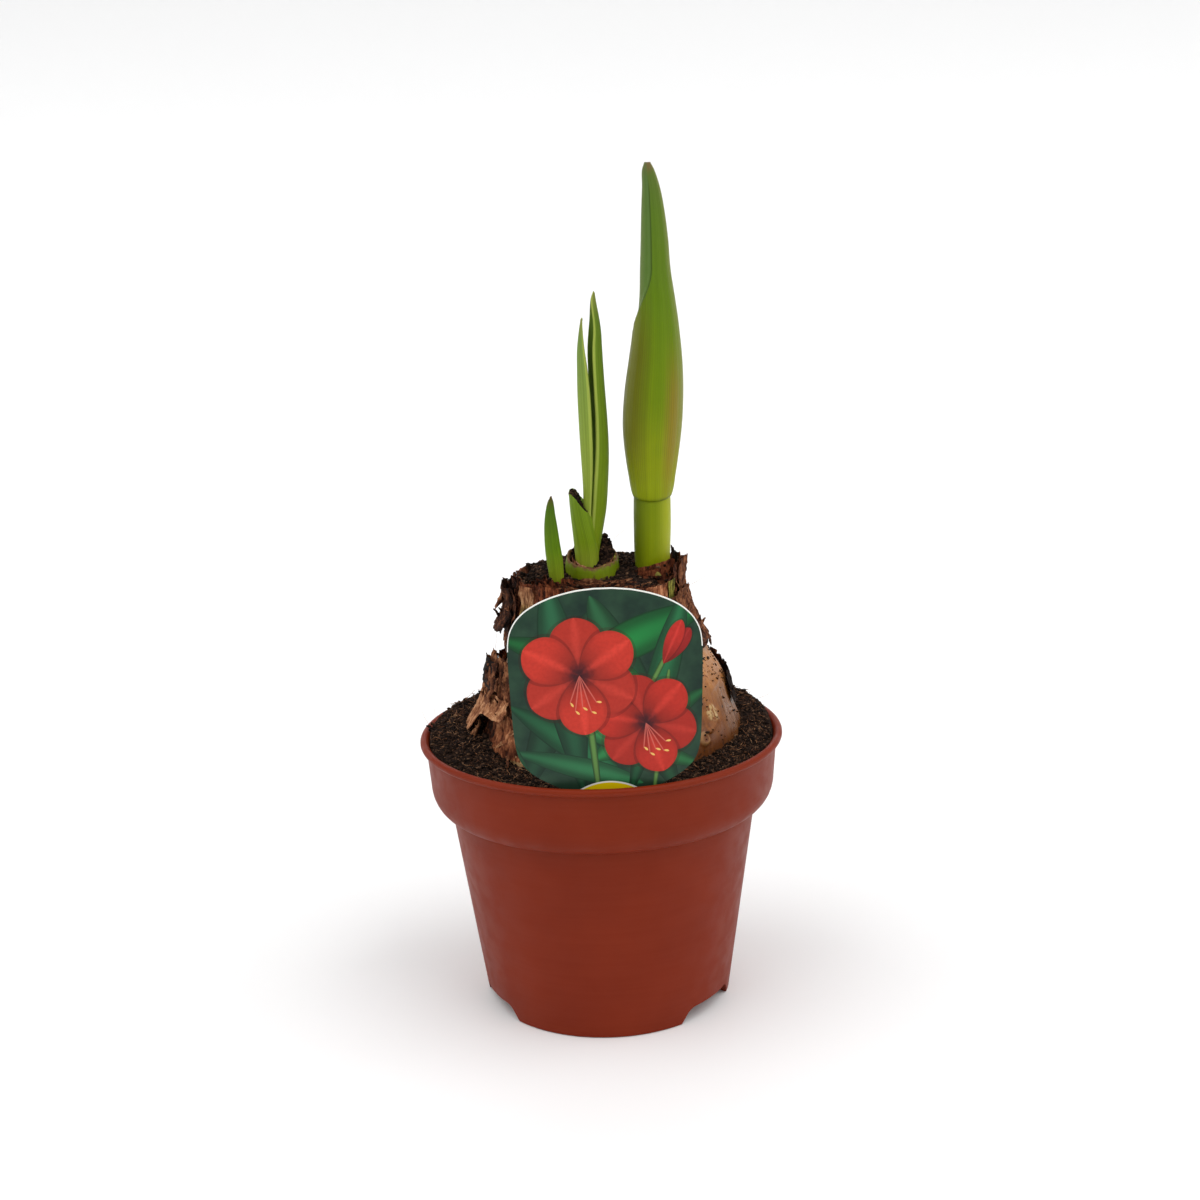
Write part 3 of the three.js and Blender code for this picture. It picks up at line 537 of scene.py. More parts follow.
def new_group(name, inputs, outputs):
    """An empty node group with named inputs and outputs, and its two ends."""
    group = bpy.data.node_groups.new(name, "ShaderNodeTree")
    for label, kind, value in inputs:
        socket = group.interface.new_socket(name=label, in_out="INPUT", socket_type=kind)
        if value is not None:
            socket.default_value = value
    for label, kind in outputs:
        group.interface.new_socket(name=label, in_out="OUTPUT", socket_type=kind)
    shading = Shading(group)
    start = shading.place("NodeGroupInput")
    end = shading.place("NodeGroupOutput")
    return group, shading, start.outputs, end.inputs


def make_fibres():
    """Long thin streaks: Value runs from 0 to 1 across them."""
    group, sh, given, out = new_group(
        "fibres",
        [
            ("Place", "NodeSocketVector", None),
            ("Stretch", "NodeSocketVector", None),
            ("Warp", "NodeSocketFloat", 0.3),
        ],
        [("Value", "NodeSocketFloat")],
    )
    drawn_out = sh.scale(given["Place"], given["Stretch"])
    node = sh.place("ShaderNodeTexNoise")
    sh.feed(node.inputs["Vector"], drawn_out)
    sh.feed(node.inputs["Scale"], 1.0)
    sh.feed(node.inputs["Detail"], 5.0)
    sh.feed(node.inputs["Roughness"], 0.6)
    sh.feed(node.inputs["Distortion"], given["Warp"])
    sh.feed(out["Value"], sh.between(node.outputs["Fac"], 0.3, 0.7))
    return group


def make_specks():
    """Small irregular specks: the Mask is 1 on them."""
    group, sh, given, out = new_group(
        "specks",
        [
            ("Place", "NodeSocketVector", None),
            ("Scale", "NodeSocketFloat", 800.0),
            ("Amount", "NodeSocketFloat", 0.3),
        ],
        [("Mask", "NodeSocketFloat")],
    )
    node = sh.place("ShaderNodeTexNoise")
    sh.feed(node.inputs["Vector"], given["Place"])
    sh.feed(node.inputs["Scale"], given["Scale"])
    sh.feed(node.inputs["Detail"], 2.0)
    sh.feed(node.inputs["Roughness"], 0.6)
    level = sh.math("SUBTRACT", 0.86, sh.math("MULTIPLY", given["Amount"], 0.42))
    sh.feed(out["Mask"], sh.between(node.outputs["Fac"], level, sh.math("ADD", level, 0.035)))
    return group


def make_petal():
    """A leaf-shaped patch on a flat card: Mask is 1 on it, Across runs 0 to 1 from its rib to its edge."""
    group, sh, given, out = new_group(
        "petal",
        [
            ("Place", "NodeSocketVector", None),
            ("Foot", "NodeSocketVector", None),
            ("Turn", "NodeSocketFloat", 0.0),
            ("Length", "NodeSocketFloat", 20.0),
            ("Width", "NodeSocketFloat", 10.0),
            ("Fullness", "NodeSocketFloat", 0.7),
        ],
        [("Mask", "NodeSocketFloat"), ("Across", "NodeSocketFloat"), ("Along", "NodeSocketFloat")],
    )
    away = sh.place("ShaderNodeVectorMath", operation="SUBTRACT")
    sh.feed(away.inputs[0], given["Place"])
    sh.feed(away.inputs[1], given["Foot"])
    rotated = sh.place("ShaderNodeVectorRotate", rotation_type="Z_AXIS")
    sh.feed(rotated.inputs["Vector"], away.outputs[0])
    sh.feed(rotated.inputs["Angle"], sh.math("MULTIPLY", given["Turn"], -1.0))
    x, y, _ = sh.split(rotated.outputs[0])
    along = sh.math("DIVIDE", x, given["Length"])
    clear = sh.math("MINIMUM", sh.math("MAXIMUM", along, 0.0), 1.0)
    ahead = sh.math("POWER", clear, 1.35)
    arch = sh.math("MULTIPLY", sh.math("MULTIPLY", ahead, sh.math("SUBTRACT", 1.0, ahead)), 4.0)
    rounded = sh.math("POWER", arch, given["Fullness"])
    half = sh.math("MULTIPLY", rounded, sh.math("MULTIPLY", given["Width"], 0.5))
    reach = sh.math("ABSOLUTE", y)
    sh.feed(out["Mask"], sh.between(sh.math("SUBTRACT", half, reach), 0.0, 0.12))
    sh.feed(out["Across"], sh.math("DIVIDE", reach, sh.math("MAXIMUM", half, 0.05), clamp=True))
    sh.feed(out["Along"], clear)
    return group


FIBRES = make_fibres()
SPECKS = make_specks()
PETAL = make_petal()


def new_material(name, roughness=0.5, **constants):
    """A material with its Principled shader; constants are set on the shader's own sockets."""
    material = bpy.data.materials.new(name)
    material.use_nodes = True
    sh = Shading(material.node_tree)
    shader = material.node_tree.nodes["Principled BSDF"]
    shader.inputs["Roughness"].default_value = roughness
    for label, value in constants.items():
        shader.inputs[label.replace("_", " ")].default_value = value
    return material, sh, shader.inputs


def object_place(sh):
    return sh.place("ShaderNodeTexCoord").outputs["Object"]


def lie_place(sh):
    return sh.place("ShaderNodeAttribute", attribute_type="GEOMETRY", attribute_name="lie").outputs["Vector"]


def bump(sh, height, distance, strength=1.0):
    """A Bump node over a height from 0 to 1, with its depth in millimetres."""
    node = sh.place("ShaderNodeBump")
    sh.feed(node.inputs["Height"], height)
    sh.feed(node.inputs["Distance"], distance * MM)
    sh.feed(node.inputs["Strength"], strength)
    return node.outputs[0]


def height_share(sh, place, low, high):
    """0 at one height in millimetres and 1 at another."""
    return sh.between(sh.split(place)["Z"], low * MM, high * MM, smooth=False)


def pot_plastic():
    material, sh, inputs = new_material("pot_plastic", Specular_IOR_Level=0.12)
    place = object_place(sh)
    cloud = sh.noise(place, 24 * MM, detail=3)
    colour = sh.colours(cloud, (0.3, tint(116, 34, 8)), (0.7, tint(123, 38, 11)))
    drawn = sh.use(FIBRES, place=place, stretch=(30, 30, 700), warp=0.1)["Value"]
    colour = sh.blend(sh.math("MULTIPLY", drawn, 0.1), colour, tint(138, 56, 34))
    peat = sh.use(SPECKS, place=place, scale=900.0, amount=0.08)["Mask"]
    near_mix = height_share(sh, place, 78, 99)
    dust = sh.math("MULTIPLY", peat, near_mix)
    sh.feed(inputs["Base Color"], sh.blend(sh.math("MULTIPLY", dust, 0.8), colour, tint(40, 22, 14)))
    rub = sh.noise(place, 7 * MM, detail=4)
    sh.feed(inputs["Roughness"], sh.between(rub, 0.3, 0.7, 0.4, 0.54))
    pebble = sh.noise(place, 0.5 * MM, detail=2)
    sh.feed(inputs["Normal"], bump(sh, sh.math("ADD", sh.math("MULTIPLY", pebble, 0.4), cloud), 0.12, 0.35))
    return material


def peat():
    """The dark fine mix under the loose grains."""
    material, sh, inputs = new_material("peat", 0.92, Specular_IOR_Level=0.1)
    place = object_place(sh)
    cell = sh.split(sh.cells(place, 0.9 * MM, "Color"))["X"]
    fine = sh.noise(place, 0.5 * MM, detail=3)
    share = sh.math("ADD", sh.math("MULTIPLY", cell, 0.62), sh.math("MULTIPLY", fine, 0.38))
    colour = sh.colours(
        share,
        (0.12, tint(13, 8, 6)),
        (0.45, tint(30, 19, 14)),
        (0.7, tint(52, 35, 26)),
        (0.9, tint(96, 70, 52)),
    )
    sh.feed(inputs["Base Color"], colour)
    sh.feed(inputs["Normal"], bump(sh, fine, 0.3, 0.6))
    return material


def crumb_skin():
    """Loose grains of the mix: most are dark brown, and a few are pale."""
    material, sh, inputs = new_material("peat_crumbs", 0.9, Specular_IOR_Level=0.12)
    fine = sh.noise(object_place(sh), 0.5 * MM, detail=3)
    own = sh.split(lie_place(sh))["Z"]
    share = sh.math("ADD", own, sh.between(fine, 0.25, 0.75, -0.14, 0.14))
    colour = sh.colours(
        share,
        (0.0, tint(15, 9, 7)),
        (0.3, tint(38, 25, 18)),
        (0.6, tint(70, 49, 36)),
        (0.85, tint(116, 88, 66)),
        (1.0, tint(170, 142, 116)),
    )
    sh.feed(inputs["Base Color"], colour)
    return material


def bulb_skin():
    material, sh, inputs = new_material("bulb_skin", Specular_IOR_Level=0.32)
    place = object_place(sh)
    lie = lie_place(sh)
    cloud = sh.noise(place, 9 * MM, detail=4, roughness=0.6, distortion=0.4)
    mottle = sh.noise(sh.scale(place, (1, 1, 0.55)), 2.4 * MM, detail=4, roughness=0.6)
    streaks = sh.use(FIBRES, place=lie, stretch=(26, 26, 2.2), warp=0.4)["Value"]
    share = sh.math("ADD", sh.math("MULTIPLY", cloud, 0.55), sh.math("MULTIPLY", mottle, 0.35))
    share = sh.math("ADD", share, sh.math("MULTIPLY", streaks, 0.1))
    colour = sh.colours(
        share,
        (0.34, tint(90, 44, 8)),
        (0.46, tint(110, 58, 12)),
        (0.56, tint(130, 74, 22)),
        (0.7, tint(164, 108, 50)),
    )
    # Lighter towards the top: partly the skin's own paler tan, partly painted light on the upper part that
    # faces the light.
    upper = height_share(sh, place, 112, 128)
    colour = sh.blend(sh.math("MULTIPLY", upper, 0.8), colour, tint(194, 136, 84))
    side = sh.split(lie)["Y"]
    outer_layer = sh.math("MULTIPLY", sh.between(side, -0.5, -0.36), sh.between(upper, 0.1, 0.55, 1.0, 0.0))
    fine = sh.use(FIBRES, place=lie, stretch=(90, 90, 4), warp=0.2)["Value"]
    satin = sh.colours(fine, (0.2, tint(84, 48, 16)), (0.75, tint(146, 98, 54)))
    colour = sh.blend(sh.math("MULTIPLY", outer_layer, 0.6), colour, satin)
    pits = sh.use(SPECKS, place=place, scale=640.0, amount=0.68)["Mask"]
    patches = 0.0
    for spot in RUST_SPOTS:
        near = sh.between(sh.distance(place, bulb_mark(spot)), 1.2 * MM, 4.6 * MM, 1.0, 0.0)
        patches = sh.math("MAXIMUM", patches, near)
    blotch = sh.between(sh.noise(place, 6 * MM, detail=2), 0.54, 0.64)
    patches = sh.math("MAXIMUM", patches, sh.math("MULTIPLY", blotch, 0.5))
    rust = sh.math("MULTIPLY", sh.math("MULTIPLY", pits, patches), 0.75)
    colour = sh.blend(rust, colour, tint(112, 54, 26))
    rare = sh.use(SPECKS, place=place, scale=420.0, amount=0.24)["Mask"]
    colour = sh.blend(sh.math("MULTIPLY", rare, 0.7), colour, tint(92, 46, 24))
    low = sh.math("SUBTRACT", 1.0, height_share(sh, place, 96, 108))
    dirt = sh.use(SPECKS, place=place, scale=700.0, amount=sh.math("MULTIPLY", low, 0.9))["Mask"]
    # Darker and mottled towards the foot of the bulb, near the mix.
    darker_low = sh.math("MULTIPLY", low, sh.between(mottle, 0.3, 0.6, 0.5, 1.0))
    colour = sh.blend(darker_low, colour, tint(92, 52, 26))
    colour = sh.blend(sh.math("MULTIPLY", dirt, 0.75), colour, tint(46, 27, 17))
    blister = sh.between(sh.distance(place, bulb_mark(BLISTER)), 2.2 * MM, 3.6 * MM, 1.0, 0.0)
    crackle = sh.between(sh.noise(sh.scale(place, (1, 1, 0.6)), 1.1 * MM, detail=3), 0.44, 0.56)
    crackled = sh.math("MULTIPLY", sh.math("MULTIPLY", blister, crackle), 0.7)
    colour = sh.blend(crackled, colour, tint(204, 172, 116))
    scar = sh.distance(place, bulb_mark(SCAR))
    scar_start = sh.between(scar, 1.5 * MM, 2.0 * MM)
    scar_edge = sh.math("MULTIPLY", scar_start, sh.between(scar, 2.3 * MM, 2.8 * MM, 1.0, 0.0))
    colour = sh.blend(sh.math("MULTIPLY", scar_edge, 0.4), colour, tint(186, 140, 88))
    for spot, size in DARK_DOTS:
        dot = sh.between(sh.distance(place, bulb_mark(spot)), size * 0.5 * MM, size * MM, 1.0, 0.0)
        colour = sh.blend(sh.math("MULTIPLY", dot, 0.9), colour, tint(40, 22, 14))
    sh.feed(inputs["Base Color"], colour)
    rough = sh.between(mottle, 0.35, 0.65, 0.32, 0.5)
    rough = sh.math("SUBTRACT", rough, sh.math("MULTIPLY", sh.math("MAXIMUM", blister, outer_layer), 0.08))
    sh.feed(inputs["Roughness"], rough)
    relief = sh.math("ADD", sh.math("MULTIPLY", mottle, 0.6), sh.math("MULTIPLY", fine, 0.2))
    relief = sh.math("SUBTRACT", relief, sh.math("MULTIPLY", sh.math("MULTIPLY", pits, patches), 0.4))
    relief = sh.math("ADD", relief, sh.math("MULTIPLY", sh.math("MULTIPLY", blister, crackle), 0.5))
    sh.feed(inputs["Normal"], bump(sh, relief, 0.4, 0.7))
    return material


def dry_skin(name, rough=0.8):
    """Papery dead scale. Its "lie" holds how far a point stands out of the creases, its hue and its tone."""
    material, sh, inputs = new_material(name, rough, Specular_IOR_Level=0.14)
    place = object_place(sh)
    crease, hue, tone = sh.split(lie_place(sh))
    fibre = sh.use(FIBRES, place=place, stretch=(1000, 1000, 200), warp=0.6)["Value"]
    cloud = sh.noise(place, 3.2 * MM, detail=4, roughness=0.62)
    share = sh.math("ADD", tone, sh.between(fibre, 0.0, 1.0, -0.16, 0.16))
    share = sh.math("ADD", share, sh.between(cloud, 0.25, 0.75, -0.2, 0.2))
    # Painted shade and highlight: the hollows of the creases are painted darker and their ridges lighter.
    share = sh.math("ADD", share, sh.between(crease, 0.0, 1.0, -0.3, 0.2))
    colour = sh.colours(
        share,
        (0.0, tint(24, 14, 10)),
        (0.28, tint(64, 37, 25)),
        (0.52, tint(112, 71, 48)),
        (0.78, tint(160, 113, 78)),
        (1.0, tint(200, 156, 116)),
    )
    colour = sh.blend(sh.between(hue, 0.0, 1.0, 0.0, 0.9), colour, tint(255, 204, 186), "MULTIPLY")
    greened = sh.blend(sh.between(share, 0.2, 0.9), tint(62, 62, 18), tint(156, 156, 62))
    colour = sh.blend(sh.between(hue, -1.0, 0.0, 0.85, 0.0), colour, greened)
    dust = sh.use(SPECKS, place=place, scale=800.0, amount=0.34)["Mask"]
    sh.feed(inputs["Base Color"], sh.blend(sh.math("MULTIPLY", dust, 0.7), colour, tint(30, 19, 14)))
    relief = sh.math("ADD", sh.math("MULTIPLY", fibre, 0.7), sh.math("MULTIPLY", cloud, 0.6))
    sh.feed(inputs["Normal"], bump(sh, relief, 0.5, 0.8))
    return material


def green_skin(name, stops, low, high, veins=(26, 26, 0.8), vein_depth=0.16, rough=0.42, dark=(52, 72, 6)):
    """Waxy green skin: colours by height, fine veins along it and a few specks of peat."""
    material, sh, inputs = new_material(name, Specular_IOR_Level=0.16)
    inputs["Subsurface Weight"].default_value = 0.08
    inputs["Subsurface Radius"].default_value = (0.6, 1.0, 0.2)
    inputs["Subsurface Scale"].default_value = 1.0 * MM
    place = object_place(sh)
    lie = lie_place(sh)
    share = height_share(sh, place, low, high)
    drift = sh.math("SUBTRACT", sh.noise(place, 9 * MM), 0.5)
    uneven = sh.math("ADD", share, sh.math("MULTIPLY", drift, 0.1))
    colour = sh.colours(uneven, *stops)
    vein = sh.use(FIBRES, place=lie, stretch=veins, warp=0.05)["Value"]
    colour = sh.blend(sh.math("MULTIPLY", vein, vein_depth * 2), colour, tint(*dark))
    rub = sh.noise(place, 5 * MM, detail=4)
    sh.feed(inputs["Roughness"], sh.between(rub, 0.3, 0.7, rough - 0.06, rough + 0.1))
    sh.feed(inputs["Normal"], bump(sh, vein, 0.12, 0.5))
    return material, sh, inputs, place, lie, colour


def with_specks(sh, inputs, place, colour, amount=0.06):
    peat_specks = sh.use(SPECKS, place=place, scale=520.0, amount=amount)["Mask"]
    sh.feed(inputs["Base Color"], sh.blend(peat_specks, colour, tint(34, 24, 16)))


def bud_skin():
    stops = [
        (0.0, tint(156, 170, 0)),
        (0.1, tint(150, 164, 0)),
        (0.3, tint(116, 142, 0)),
        (0.6, tint(100, 132, 12)),
        (0.85, tint(94, 126, 32)),
        (0.965, tint(94, 118, 46)),
        (1.0, tint(124, 96, 60)),
    ]
    material, sh, inputs, place, lie, colour = green_skin("bud_skin", stops, 184, 296.2, (34, 34, 0.5), 0.14)
    side, front, _ = sh.split(lie)
    z = sh.split(place)["Z"]
    # The left side of the bud's waist is darker: partly its own darker green, partly painted shade from the
    # light on the right and the leaves beside it.
    waist = sh.between(sh.math("ABSOLUTE", sh.math("SUBTRACT", z, 220 * MM)), 10 * MM, 40 * MM, 1.0, 0.0)
    left_green_and_painted_shade = sh.math("MULTIPLY", sh.between(side, -0.8, 0.1, 1.0, 0.0), waist)
    colour = sh.blend(sh.math("MULTIPLY", left_green_and_painted_shade, 0.7), colour, tint(96, 84, 4))
    right_low = sh.between(sh.math("ABSOLUTE", sh.math("SUBTRACT", z, 208 * MM)), 6 * MM, 34 * MM, 1.0, 0.0)
    right_band = sh.math("MULTIPLY", sh.between(side, 0.2, 0.66), sh.between(side, 0.7, 1.0, 1.0, 0.4))
    streak = sh.use(FIBRES, place=lie, stretch=(46, 46, 0.6), warp=0.05)["Value"]
    streaked = sh.between(streak, 0.0, 1.0, 0.5, 0.85)
    flush = sh.math("MULTIPLY", sh.math("MULTIPLY", right_band, right_low), streaked)
    colour = sh.blend(sh.math("MULTIPLY", flush, 0.8), colour, tint(154, 110, 44))
    # Painted highlight: the bud's left and right edges, as seen from the front, are painted paler where the
    # side lights catch them.
    edge = sh.between(sh.math("ABSOLUTE", side), 0.62, 0.98)
    high = sh.between(z, 194 * MM, 214 * MM)
    colour = sh.blend(sh.math("MULTIPLY", sh.math("MULTIPLY", edge, high), 0.5), colour, tint(142, 146, 84))
    turn = sh.math("ARCTAN2", front, side)
    wander = sh.between(sh.noise(place, 12 * MM), 0.0, 1.0, 0.0, 5.0)
    vein = sh.math("SINE", sh.math("ADD", sh.math("MULTIPLY", turn, 74.0), wander))
    off_middle = sh.between(sh.math("ABSOLUTE", side), 0.1, 0.6, 0.1, 0.26)
    ribbed = sh.math("MULTIPLY", sh.between(vein, -0.4, 1.0), off_middle)
    colour = sh.blend(ribbed, colour, tint(84, 66, 20))
    # Painted shade by the sheath's fold: the strip behind the fold's edge is a muted shaded green, a dark
    # line runs along that edge, and a dark line marks the crease at the bud's foot.
    fold = sh.place("ShaderNodeAttribute", attribute_type="GEOMETRY", attribute_name="fold")
    behind = sh.split(fold.outputs["Vector"])
    colour = sh.blend(sh.math("MULTIPLY", behind["X"], 0.5), colour, tint(88, 118, 66))
    colour = sh.blend(sh.math("MULTIPLY", behind["Y"], 0.75), colour, tint(34, 54, 12))
    colour = sh.blend(sh.math("MULTIPLY", behind["Z"], 0.65), colour, tint(70, 88, 0))
    with_specks(sh, inputs, place, colour, 0.05)
    return material


def stalk_skin():
    stops = [
        (0.0, tint(160, 168, 20)),
        (0.3, tint(140, 154, 0)),
        (1.0, tint(124, 142, 0)),
    ]
    material, sh, inputs, place, lie, colour = green_skin("stalk_skin", stops, 154, 184, (22, 22, 0.4), 0.08)
    side = sh.split(lie)["X"]
    # Painted light: the stalk's right side is painted paler where the light falls, and its left side darker
    # as painted shade.
    colour = sh.blend(sh.between(side, 0.1, 0.9, 0.0, 0.6), colour, tint(178, 180, 44))
    colour = sh.blend(sh.between(side, -0.85, -0.1, 0.7, 0.0), colour, tint(84, 98, 0))
    with_specks(sh, inputs, place, colour, 0.07)
    return material


def leaf_skin(name, low, high, stops, rough=0.5, inside=(84, 112, 26)):
    """A young leaf's skin, with a pale margin and a darker inner side."""
    material, sh, inputs, place, lie, colour = green_skin(name, stops, low, high, (24, 24, 0.5), 0.2, rough)
    edge, face, _ = sh.split(lie)
    if inside:
        colour = sh.blend(sh.between(face, -0.2, 0.0, 0.7, 0.0), colour, tint(*inside))
        colour = sh.blend(sh.between(edge, 0.955, 0.985, 0.0, 0.7), colour, tint(176, 190, 84))
    with_specks(sh, inputs, place, colour, 0.04)
    return material


def ring_skin():
    stops = [
        (0.0, tint(150, 146, 30)),
        (0.5, tint(116, 136, 4)),
        (1.0, tint(104, 118, 14)),
    ]
    material, sh, inputs, place, lie, colour = green_skin(
        "ring_skin", stops, 152, 165, veins=(9, 9, 2.0), vein_depth=0.12, rough=0.5
    )
    along = sh.split(lie)["Z"]
    torn = sh.math("ADD", along, sh.between(sh.noise(place, 1.6 * MM), 0.0, 1.0, -0.11, 0.11))
    colour = sh.blend(sh.between(torn, 0.5, 0.62), colour, tint(110, 78, 46))
    patches = sh.between(sh.noise(place, 3.4 * MM, detail=4), 0.58, 0.68)
    colour = sh.blend(sh.math("MULTIPLY", patches, 0.7), colour, tint(84, 58, 30))
    with_specks(sh, inputs, place, colour, 0.26)
    return material


def plain_card(name, colour, rough):
    material, sh, inputs = new_material(name, rough)
    place = object_place(sh)
    paper = sh.noise(place, 0.6 * MM, detail=2)
    mottle = sh.math("MULTIPLY", paper, 0.08)
    sh.feed(inputs["Base Color"], sh.blend(mottle, tint(*colour), tint(190, 186, 176)))
    return material


def label_print():
    """The printed picture: two plain red flowers and a bud before green blades, over a yellow half disc."""
    material, sh, inputs = new_material("label_print", 0.34, Specular_IOR_Level=0.22)
    x, _, z = sh.split(object_place(sh))
    card_x = sh.math("SUBTRACT", sh.math("DIVIDE", x, MM), LABEL.middle)
    place = sh.join(card_x, sh.math("DIVIDE", z, MM), 0.0)
    wash = sh.noise(place, 9.0, detail=3)
    colour = sh.colours(wash, (0.3, tint(22, 44, 36)), (0.7, tint(42, 72, 52)))
    for foot, turn, length, width, green in BLADES:
        angle = math.radians(turn)
        blade = sh.use(PETAL, place=place, foot=(*foot, 0), turn=angle, length=length, width=width)
        lit = tint(*[min(c * 1.5, 255) for c in green])
        shaded = sh.blend(sh.between(blade["Across"], 0.05, 0.8), lit, tint(*green))
        shaded = sh.blend(sh.between(blade["Along"], 0.0, 0.8, 0.55, 0.0), shaded, tint(18, 38, 30))
        edge = sh.between(blade["Across"], 0.82, 1.0)
        shaded = sh.blend(sh.math("MULTIPLY", edge, 0.7), shaded, tint(14, 30, 22))
        colour = sh.blend(blade["Mask"], colour, shaded)
    for stem in BUD_STEMS:
        colour = printed_stem(sh, place, colour, *stem)
    for foot, turn, length, width, red in PRINTED_BUDS:
        colour = printed_petal(sh, place, colour, foot, turn, length, width, red)
    for bloom in BLOOMS:
        colour = printed_bloom(sh, place, colour, *bloom)
    disc = sh.distance(place, (0, DISC.height, 0))
    outer = sh.between(disc, DISC.radius, DISC.radius + 0.12, 1.0, 0.0)
    colour = sh.blend(outer, colour, tint(240, 240, 232))
    inner = DISC.radius - DISC.border
    colour = sh.blend(sh.between(disc, inner, inner + 0.12, 1.0, 0.0), colour, tint(232, 204, 6))
    sh.feed(inputs["Base Color"], colour)
    sh.feed(inputs["Normal"], bump(sh, sh.noise(place, 5.0), 0.1, 0.3))
    return material


def printed_stem(sh, place, under, foot, turn, length, width):
    angle = math.radians(turn)
    stem = sh.use(PETAL, place=place, foot=(*foot, 0), turn=angle, length=length, width=width, fullness=0.25)
    shaded = sh.blend(sh.between(stem["Across"], 0.2, 0.9), tint(92, 132, 66), tint(36, 70, 38))
    return sh.blend(stem["Mask"], under, shaded)


def printed_bloom(sh, place, colour, centre, reach, turn, red):
    """A plain six-petalled flower seen from the front, with a dark throat and a few stamens."""
    for index, step in enumerate((90, 210, 330, 30, 150, 270)):
        front = index > 2
        length = reach * (1.0 if front else 0.95)
        width = length * (0.78 if front else 0.9)
        shade = red if front else [c * 0.9 for c in red]
        colour = printed_petal(sh, place, colour, centre, turn + step, length, width, shade)
    middle = (*centre, 0)
    uneven = sh.math("ADD", sh.distance(place, middle), sh.between(sh.noise(place, 1.6), 0.0, 1.0, -1.2, 1.2))
    throat = sh.between(uneven, 0.03 * reach, 0.34 * reach, 1.0, 0.0)
    colour = sh.blend(sh.math("MULTIPLY", throat, 0.9), colour, tint(36, 16, 26))
    for bend, share in STAMENS:
        angle = math.radians(turn + bend)
        thread = sh.use(
            PETAL, place=place, foot=middle, turn=angle, length=reach * share, width=0.55, fullness=0.3
        )
        colour = sh.blend(sh.math("MULTIPLY", thread["Mask"], 0.8), colour, tint(206, 100, 88))
        way = Vector((math.cos(angle), math.sin(angle), 0))
        tip = Vector(middle) + way * (reach * share - 0.6)
        knob = sh.use(PETAL, place=place, foot=tuple(tip), turn=angle + 0.9, length=1.9, width=0.8)
        colour = sh.blend(knob["Mask"], colour, tint(236, 190, 104))
    return colour


def printed_petal(sh, place, under, centre, turn, length, width, red):
    """One flat red petal laid over what is under it, with a soft shadow round its edge."""
    foot = (*centre, 0)
    angle = math.radians(turn)
    shadow = sh.use(
        PETAL, place=place, foot=foot, turn=angle, length=length * 1.04, width=width * 1.14, fullness=0.6
    )
    under = sh.blend(sh.math("MULTIPLY", shadow["Mask"], 0.34), under, tint(50, 8, 10))
    petal = sh.use(PETAL, place=place, foot=foot, turn=angle, length=length, width=width, fullness=0.6)
    deep = tint(*[c * 0.72 for c in red])
    shaded = sh.blend(sh.between(petal["Along"], 0.08, 0.7), deep, tint(*red))
    pale = tint(*[min(c * 1.14 + 14, 255) for c in red])
    shaded = sh.blend(sh.between(petal["Across"], 0.0, 0.3, 0.45, 0.0), shaded, pale)
    shaded = sh.blend(sh.between(petal["Across"], 0.78, 1.0, 0.0, 0.35), shaded, deep)
    streak = sh.noise(place, 1.2, detail=3)
    shaded = sh.blend(sh.between(streak, 0.35, 0.7, 0.0, 0.2), shaded, tint(140, 30, 22))
    return sh.blend(petal["Mask"], under, shaded)


# Marks on the bulb, as (degrees, height): a crackled blister with a fold below it, a round scar, rusty
# patches, dark dots with their sizes, and a wrinkle
BLISTER = (326.0, 110.8)
BLISTER_FOLD = [(316.5, 106.4), (321.0, 105.8), (327.5, 108.6)]
SCAR = (315.0, 104.0)
RUST_SPOTS = [(335.5, 125.8), (333.5, 123.0), (322.5, 119.5), (329.0, 128.0), (318.0, 114.0)]
DARK_DOTS = [((314.5, 103.0), 0.8), ((336.5, 110.8), 0.8), ((320.5, 101.5), 0.5)]
WRINKLE = [(332.5, 118.2), (342.0, 119.2), (346.0, 117.0)]

# A clump of grains on the rim at the left, and stray hairs: foot, heading and length
RIM_CLUMP = [(-61.8, 3.0, 99.6), (-62.4, 5.2, 99.9), (-61.4, 7.4, 100.2), (-60.6, 1.2, 99.6)]
STRAY_HAIRS = [
    ((-62, 5, 100.6), (-0.6, 0.1, 0.8), 7),
    ((-60, 9, 101.5), (-0.3, -0.2, 1.0), 5),
    ((58, 18, 102.5), (0.9, 0.1, 0.25), 9),
    ((6, 6, 166.5), (0.7, 0.0, 0.7), 11),
    ((-37, 4, 128), (0.1, 0.0, 1.0), 9),
    ((33, -4, 152), (0.9, 0.2, 0.4), 7),
]

